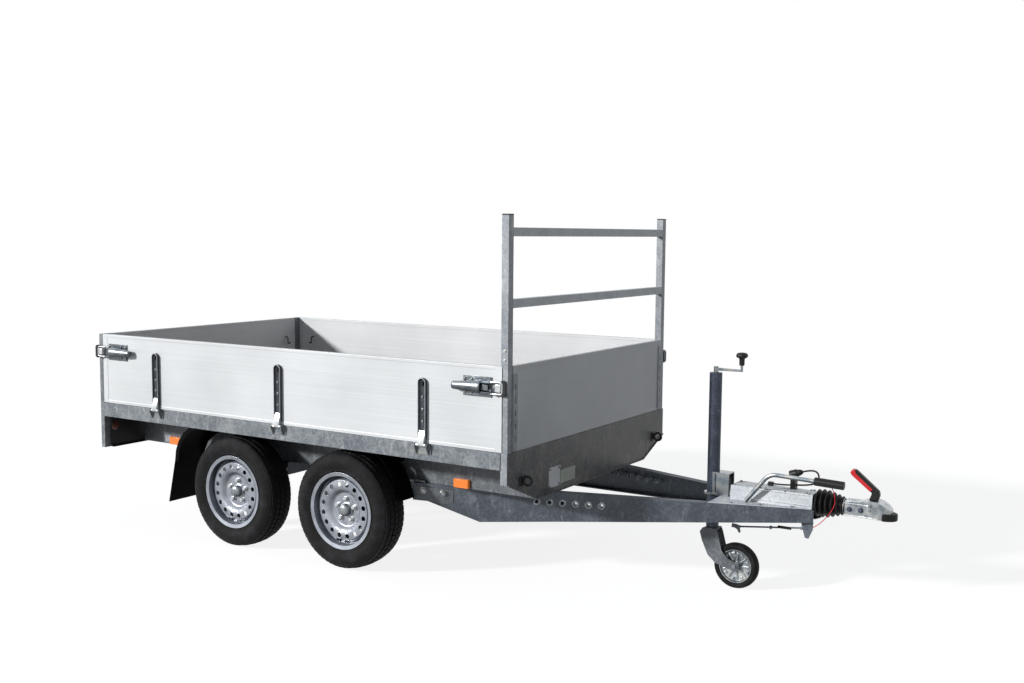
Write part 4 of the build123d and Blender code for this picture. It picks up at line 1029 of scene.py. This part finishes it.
# jockey wheel, and its fluted knob
jockeyShape = {
    "middle": (779, 0, 110), "ribCount": 9, "nutOut": 35,
    "tyre": [(79.5, -21), (84, -22.5), (92, -24.2), (98, -24.6), (103, -22.6), (106.6, -18), (108.8, -11), (109.7, 0)],
    "rim": [(6.3, -24), (17, -24), (19.5, -22), (20, -7), (30, -9), (62, -12), (71, -14), (74, -17), (75, -20.5),
            (77, -22.6), (80, -22.8), (80.2, -20)],
    "ribs": [(46, 0.04, 0.008, 0.005, 0.0), (62, 0.012, 0.015, 0.0045, 0.5)],  # reach, length, width, depth, lead
    "knobX": 0.778, "flutes": 8, "fluteDeep": 0.0011,
    "knob": [(0, 1072), (11, 1072), (12.5, 1076), (12.8, 1100), (15, 1106), (24, 1110), (27.6, 1114), (28, 1120),
             (26, 1127), (19, 1131.5), (8, 1133.5), (0, 1134)],
}


def makeJockeyWheel(shape):
    middle = place(*shape["middle"])
    addPiece("jockeyTyre", lathe(symmetric(shape["tyre"]), 96, "Y", middle), "tyre", "jockey_wheel",
             replaced=("jockey_tyre",), smoothAngle=50)
    rim = finished(lathe(symmetric(shape["rim"]), 96, "Y", middle), smoothAngle=30)
    rows = [(way * (0.0095 + 0.0000625 * reach), reach / 1000, lead, (long, deep * 2, wide))
            for way in (-1, 1) for reach, long, wide, deep, lead in shape["ribs"]]
    ribs = blocksRound(rows, shape["ribCount"], "bright_zinc")
    ribs = finished(moved(ribs, Matrix.Translation(middle)), 0.0016)
    addPiece("jockeyRim", [rim, ribs], "bright_zinc", "jockey_wheel", "castZinc", ("jockey_rim",))
    x, _, z = shape["middle"]
    boltsOn("jockeyAxleNuts", "medium", "jockey_caster", pairs([(x, z, shape["nutOut"])]))


def makeKnob(shape):
    middle = frontWall + shape["knobX"]
    mesh = lathe(shape["knob"], 40, "Z", (middle, 0, 0), closed=False)
    for vert in mesh.vertices:
        spot = vert.co - Vector((middle, 0, vert.co.z))
        if spot.length > 0.02 and 1.108 < vert.co.z < 1.128:
            turn = math.atan2(spot.y, spot.x)
            vert.co -= spot.normalized() * shape["fluteDeep"] * (1 + math.cos(turn * shape["flutes"]))
    addPiece("jockeyKnob", mesh, "black_plastic", "jockey_post", replaced=("jockey_knob",), smoothAngle=50)


makeJockeyWheel(jockeyShape)
makeKnob(jockeyShape)
print("stage: drawbar pieces")


# bolts and rivets on the frame, in millimetres
armSlope = 0.2977  # how fast a drawbar arm closes on the middle
frameBolts = {
    "arms": ((-639, 407), (-541, 400)), "armFace": 406.8, "armFacing": (0.285, 0.958),
    "tops": (  # x, distance from the middle at x = 0, taper, height
        ((1130, 1020, 905), 71.7358, 0.0259, 510), ((800, 925, 1060), 384, 0.298, 445),
    ),
    "posts": [(-20, 1160, 825.9), (-20, 1118, 825.9)],
}


def makeFrameBolts(shape):
    large, small = [], []
    along, out = shape["armFacing"]
    for way in (-1, 1):
        for x, z in shape["arms"]:
            large.append((place(x, way * (shape["armFace"] - armSlope * x), z), (along, way * out, 0)))
        for row, across, taper, z in shape["tops"]:
            small += [(place(x, way * (across - taper * x), z), (0, 0, 1)) for x in row]
    boltsOn("frameBoltsLarge", "large", "chassis", large)
    boltsOn("frameBoltsSmall", "small", "chassis", small)
    boltsOn("rackPostBolts", "small", "chassis", pairs(shape["posts"]), material="polishedZinc")


makeFrameBolts(frameBolts)


# splice plates where the drawbar arms are bolted on, and a stay over each in brightened zinc, which paints a sunlit
# glint there
spliceShape = {
    "start": (-490, -549.9, 0), "sheet": 0.0026,
    "outline": [(-0.205, 0.425), (0, 0.418), (0, 0.352), (-0.055, 0.34), (-0.11, 0.352), (-0.205, 0.356)],
    "stayAt": (-735, -592, 448), "stay": [(0, 0), (4.6, 0), (5.6, 1), (5.6, 99), (4.6, 100), (0, 100)],
}


def makeSplices(shape):
    plate = finished(extruded(shape["outline"], "Y", -shape["sheet"], -0.0001), 0.0007)
    turn = Matrix.Rotation(math.atan(armSlope), 4, "Z")
    plate = moved(plate, Matrix.Translation(place(*shape["start"])) @ turn)
    addPiece("splicePlates", bothSides(plate), "galvanised", material="galvanisedShaded")
    stay = finished(lathe(shape["stay"], 24, "X", place(*shape["stayAt"]), closed=False), smoothAngle=40)
    addPiece("guardStays", bothSides(stay), "bright_zinc", material="polishedZinc")


makeSplices(spliceShape)


# front panel: two blank plates
plateShape = {
    "metal": (-0.459, -0.352, 0.47, 0.568), "sheet": 0.0012, "border": 0.004, "raised": (0.001, 0.0022),
    "rivetInset": 0.008, "label": (-0.344, -0.199, 0.475, 0.54), "film": 0.0008, "radius": 0.006,
}


def makePlates(shape):
    y0, y1, z0, z1 = shape["metal"]
    border, inset, radius = shape["border"], shape["rivetInset"], shape["radius"]
    face = frontWall + shape["sheet"]
    meshes = [extruded(oblong(y0, y1, z0, z1), "X", frontWall, face)]
    for sides in ((y0, y1, z0, z0 + border), (y0, y1, z1 - border, z1), (y0, y0 + border, z0, z1),
                  (y1 - border, y1, z0, z1)):
        meshes.append(extruded(oblong(*sides), "X", *[frontWall + out for out in shape["raised"]]))
    addPiece("blankPlate", meshes, "aluminium", bevel=0.0005)
    spots = [(Vector((face, y, z)), (1, 0, 0)) for y in (y0 + inset, y1 - inset) for z in (z0 + inset, z1 - inset)]
    boltsOn("plateRivets", "small", "chassis", spots, sides=16)
    y0, y1, z0, z1 = shape["label"]
    corners = []
    for corner, (y, z) in enumerate(((y1 - radius, z1 - radius), (y0 + radius, z1 - radius),
                                     (y0 + radius, z0 + radius), (y1 - radius, z0 + radius))):
        turns = [math.radians(corner * 90 + step * 22.5) for step in range(5)]
        corners += [(y + radius * math.cos(turn), z + radius * math.sin(turn)) for turn in turns]
    label = extruded(corners, "X", frontWall, frontWall + shape["film"])
    addPiece("blankLabel", label, "aluminium", material="labelFilm", bevel=0.0002, segments=1)


makePlates(plateShape)


# lashing eyes on the front panel's corners
eyeShape = {
    "at": (31, 700, 553), "reach": 21, "bar": 6, "lug": [(5, 536), (14, 544), (15, 562), (5, 570)],
    "lugFaces": (0.692, 0.708), "base": (0.676, 0.724, 0.528, 0.578), "baseFaces": (0.0002, 0.005),
}


def makeEyes(shape):
    x, y, z = shape["at"]
    turns = [2 * math.pi * i / 16 for i in range(16)]
    bar = [(shape["reach"] + shape["bar"] * math.cos(turn), shape["bar"] * math.sin(turn)) for turn in turns]
    rings = finished(bothSides(lathe(bar, 40, "Y", place(x, y, z))), smoothAngle=60)
    lug = extruded(outlined(shape["lug"]), "Y", *shape["lugFaces"])
    base = extruded(oblong(*shape["base"]), "X", *[frontWall + face for face in shape["baseFaces"]])
    lugs = finished(bothSides(joined([lug, base])), 0.0015)
    addPiece("lashingEyes", [rings, lugs], slotOf["lashing_rings"], material="darkPaint", replaced=("lashing_rings",))


makeEyes(eyeShape)


# dark inlays in the flange slots beside the rack posts: painted shade in the slots
slotShadeShape = {
    "across": (0.7653, 0.7707), "slots": (0.74, 0.8, 0.86, 0.92, 0.98), "ends": (0.0004, 0.0256),
    "faces": (0.0003, 0.0022),
}


def makeSlotShades(shape):
    (low, high), (back, face) = shape["ends"], shape["faces"]
    meshes = [extruded(oblong(*shape["across"], z + low, z + high), "X", frontWall + back, frontWall + face)
              for z in shape["slots"]]
    addPiece("flangeGaskets", bothSides(joined(meshes)), "rubber", bevel=0.0005)


makeSlotShades(slotShadeShape)


# brake rod's nuts and guide sleeve, the housing's studs and pressed ribs, and the rear markers' plates
smallSteel = {
    "nuts": ((952, 9.0), (1097, 7.5), (798, 7.5)), "rodY": -45,  # start and radius of each nut
    "sleeve": [(3.6, 0), (6, 0), (6.6, 2), (6.6, 61), (6, 63), (3.6, 63)], "sleeveX": (991, 1022),
    "ribs": ((0.456, 0.004), (0.5015, 0.0035)), "ribEnds": (860, 1138),  # height and lift of each rib
    "studs": ((775, 45), (924, 38), (1118, 34)), "studHeight": 510,
    "plate": (-2.536, -2.486, 0.45, 0.492), "plateFaces": (0.5742, 0.5765),
    "rod": (790, 311, 39, 324),  # x, its height there, rise, over a length
    "side": (762, 445, 70, 16, 388, 10, 65),  # x, height, half width there, narrowing along x and with height
}


def makeSmallSteel(shape):
    rodX, rodZ, rise, run = shape["rod"]
    housingX, housingZ, half, narrowing, length, leaning, height = shape["side"]

    def rodHeight(x):
        return rodZ + rise * (x - rodX) / run

    def housingSide(x, z):
        return half - narrowing * (x - housingX) / length - leaning * (z - housingZ) / height

    nuts = []
    for start, radius in shape["nuts"]:
        profile = [(3.0, 0), (radius - 1, 0), (radius, 1), (radius, 10), (radius - 1, 11), (3.0, 11)]
        nuts.append(lathe(profile, 6, "X", place(start, shape["rodY"], rodHeight(start))))
    addPiece("brakeRodNuts", nuts, "bright_zinc", bevel=0.0006)
    start, middle = shape["sleeveX"]
    sleeve = lathe(shape["sleeve"], 24, "X", place(start, shape["rodY"], rodHeight(middle)))
    addPiece("brakeRodSleeve", sleeve, "rubber", smoothAngle=40)
    ribs = []
    for way in (-1, 1):
        for z, lift in shape["ribs"]:
            edge = [(x, housingSide(x, z * 1000)) for x in shape["ribEnds"]]
            ribs.append(extruded(edged(edge, way, -1, 2.6), "Z", z, z + lift))
    addPiece("housingRibs", ribs, "bright_zinc", material="polishedZinc", bevel=0.0012, segments=3)
    z = shape["studHeight"]
    studs = [(place(x, way * across, z), (0, 0, 1)) for x, across in shape["studs"] for way in (-1, 1)]
    boltsOn("housingStuds", "small", "chassis", studs)
    rear, front, bottom, top = shape["plate"]
    plate = extruded(oblong(frontWall + rear, frontWall + front, bottom, top), "Y", *shape["plateFaces"])
    addPiece("markerPlates", bothSides(plate), "galvanised", material="galvanisedPale", bevel=0.0006)


makeSmallSteel(smallSteel)


# flanged sleeves through the drawbar's holes; black discs inside half of them paint the shade seen through those holes
sleeveShape = {
    "rim": [(10.4, 4.6), (12.6, 5.0), (14.4, 4.2), (17.6, 1.4), (18.8, 0.1), (11.9, 0.1), (11.9, -42), (10.4, -42)],
    "plug": [(0, -30), (8.6, -30), (10.3, -31), (10.3, -38), (0, -38)],
    "first": -83, "pitch": 61, "count": 6, "plugged": 3, "armFace": 404.2, "height": 390,
}


def makeSleeves(shape):
    rim = finished(lathe(shape["rim"], 28), smoothAngle=30)
    plug = finished(lathe(shape["plug"], 28, closed=False), 0.0006)
    places = []
    for index in range(shape["count"]):
        x = shape["first"] + index * shape["pitch"]
        there = Matrix.Translation(place(x, shape["armFace"] - armSlope * x, shape["height"]))
        places.append(there @ Matrix.Rotation(-math.atan(armSlope), 4, "Z"))
    addPiece("drawbarSleeves", bothSides(spread(rim, places)), "galvanised", material="galvanisedRung")
    addPiece("sleevePlugs", bothSides(spread(plug, places[:shape["plugged"]])), "black_plastic")


makeSleeves(sleeveShape)


# mudguards' inner skirts
skirtShape = {
    "outline": [(-2226, 470), (-2140, 575), (-2045, 632), (-1950, 640), (-820, 640), (-735, 560), (-760, 540),
                (-860, 585), (-1700, 585), (-1960, 585), (-2050, 560), (-2130, 500), (-2170, 420)],
    "inner": 0.6205, "outer": 0.6235,
}


def makeSkirts(shape):
    skirt = extruded(outlined(shape["outline"]), "Y", shape["inner"], shape["outer"])
    addPiece("guardSkirts", bothSides(skirt), "black_plastic", material="guardPlastic", bevel=0.0008)


makeSkirts(skirtShape)


# lamp board, folded, reaching up to the rear crossbar and out past the lamps
lampBoardShape = {
    "half": 0.789, "bottom": 0.432, "top": 0.612, "shoulder": 0.6, "topHalf": 0.78, "lipHalf": 0.775,
    "face": -2.746, "sheet": 0.004, "lip": 0.003,
    "window": [(0, 2.4), (20, 2.2), (25, 1.5), (26, 0.2)], "windowAt": (-2742, 760, 552),
}


def makeLampBoard(shape):
    face = frontWall + shape["face"]
    half, z0, z1, lip = shape["half"], shape["bottom"], shape["top"], shape["lip"]
    outline = [(-half, z0), (half, z0), (half, shape["shoulder"]), (shape["topHalf"], z1), (-shape["topHalf"], z1),
               (-half, shape["shoulder"])]
    meshes = [extruded(outline, "X", face, face + shape["sheet"])]
    for z, reach in ((z0, half), (z1 - lip, shape["lipHalf"])):
        meshes.append(extruded(oblong(face + 0.001, face + 0.024, -reach, reach), "Z", z, z + lip))
    addPiece("lampBoard", meshes, slotOf["lamp_board"], material="darkPaint", replaced=("lamp_board",), bevel=0.0009)
    window = lathe(shape["window"], 28, "X", place(*shape["windowAt"]), closed=False)
    addPiece("lampWindows", bothSides(window), "lamp_lens", material="shadedLens", smoothAngle=40)


makeLampBoard(lampBoardShape)


# rear lamps: three chambers under one lens on a black base, the inner one amber
lampShape = {
    "middle": 0.6, "half": 0.105, "gaps": (0.033, 0.037), "edge": 0.004, "rim": 0.006, "lens": 0.022, "base": 0.014,
}


def makeLamps(shape):
    low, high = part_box("rear_lamps")
    middle, half, (near, far), rim = shape["middle"], shape["half"], shape["gaps"], shape["rim"]
    inner = half - shape["edge"]
    chambers = []
    for a, b in ((-inner, -far), (-near, near), (far, inner)):
        outline = oblong(middle + a, middle + b, low[2] + rim, high[2] - rim)
        chambers.append(extruded(outline, "X", low[0], low[0] + shape["lens"]))
    base = extruded(oblong(middle - half, middle + half, low[2], high[2]), "X", low[0] + shape["base"], high[0])
    for name, meshes, slotName, bevel, segments in (("Lenses", chambers[1:], "lamp_lens", 0.005, 4),
                                                    ("Amber", chambers[:1], "marker_lens", 0.005, 4),
                                                    ("Bases", [base], "black_plastic", 0.004, 3)):
        addPiece("rearLamp" + name, bothSides(joined(meshes)), slotName, replaced=("rear_lamps",), bevel=bevel,
                 segments=segments)


makeLamps(lampShape)


# lashing hooks inside the bed, bent from round bar
hookShape = {
    "size": 1.35, "bar": 0.0042, "side": (-2620, 804, 925), "gate": (-2754, 675, 925),
    "line": [(0, 0, 0.03), (0, -0.01, 0.03), (0, -0.016, 0.022), (0, -0.014, 0.004), (0, -0.02, -0.006),
             (0, -0.03, 0.002)],
}


def makeHooks(shape):
    side, (x, y, z) = place(*shape["side"]), shape["gate"]
    for title, body, spots, turn in (("SideLeft", "side_left", [side], 0),
                                     ("Tailgate", "tailgate", [place(x, y, z), place(x, -y, z)], 90),
                                     ("SideRight", "side_right", [acrossMiddle @ side], 180)):
        curve = roundBar("hookBar", shape["bar"], 3)
        sized = Matrix.Rotation(math.radians(turn), 4, "Z") @ Matrix.Scale(shape["size"], 4)
        for spot in spots:
            bentLine(curve, [Matrix.Translation(spot) @ sized @ Vector(bend) for bend in shape["line"]])
        mesh = plainMesh(newObject("hookBar", curve))
        mesh.shade_smooth()
        addPiece("lashingHooks" + title, mesh, "black_plastic", body)


makeHooks(hookShape)
print("stage: small pieces")


# floor, sun and world
studio = {
    "sunPower": 3.5, "sunSoftness": 5.0, "sunTravel": (0.6, 0.74, -0.34), "worldPower": 0.24,
    "worldTint": "#dfe8f4", "floor": "#8c8c8b", "floorLift": 0.86, "floorReach": 60.0, "floorDrop": -0.001,
}


def seenDirectly(tree):
    path = addNode(tree, "ShaderNodeLightPath").outputs
    return path, maths("MAXIMUM", path["Is Camera Ray"], path["Is Glossy Ray"])


def makeWorld(look):
    scene.world = bpy.data.worlds.new("studioWorld")
    scene.world.use_nodes = True
    tree = scene.world.node_tree
    tree.nodes.clear()
    path, seen = seenDirectly(tree)
    seen = maths("MAXIMUM", seen, path["Is Transmission Ray"])
    light = addNode(tree, "ShaderNodeBackground", Color=linear(look["worldTint"]), Strength=look["worldPower"])
    white = addNode(tree, "ShaderNodeBackground", Color=(1, 1, 1, 1), Strength=1.0)
    both = addNode(tree, "ShaderNodeMixShader", i0=seen, i1=light.outputs[0], i2=white.outputs[0])
    addNode(tree, "ShaderNodeOutputWorld", i0=both.outputs[0])


def makeFloor(look):
    mesh = bpy.data.meshes.new("studioFloor")
    reach, z = look["floorReach"], look["floorDrop"]
    mesh.from_pydata([(x, y, z) for x, y in oblong(-reach, reach, -reach, reach)], [], [(0, 1, 2, 3)])
    floor = newObject("studioFloor", mesh)
    material = bpy.data.materials.new("paintedStudioFloor")
    material.use_nodes = True
    tree = material.node_tree
    tree.nodes.clear()
    path, seen = seenDirectly(tree)
    paint = addNode(tree, "ShaderNodeBsdfDiffuse", Color=linear(look["floor"]))
    lift = maths("MULTIPLY", seen, look["floorLift"])
    glow = addNode(tree, "ShaderNodeEmission", Color=(1, 1, 1, 1), Strength=lift)
    both = addNode(tree, "ShaderNodeAddShader", i0=paint.outputs[0], i1=glow.outputs[0])
    addNode(tree, "ShaderNodeOutputMaterial", i0=both.outputs[0])
    mesh.materials.append(material)


def makeSun(look):
    sun = bpy.data.lights.new("softKey", "SUN")
    sun.energy = look["sunPower"]
    sun.angle = math.radians(look["sunSoftness"])
    lamp = newObject("softKey", sun)
    lamp.rotation_mode = "QUATERNION"
    lamp.rotation_quaternion = Vector(look["sunTravel"]).to_track_quat("-Z", "Y")


makeWorld(studio)
makeFloor(studio)
makeSun(studio)
print("stage: studio")
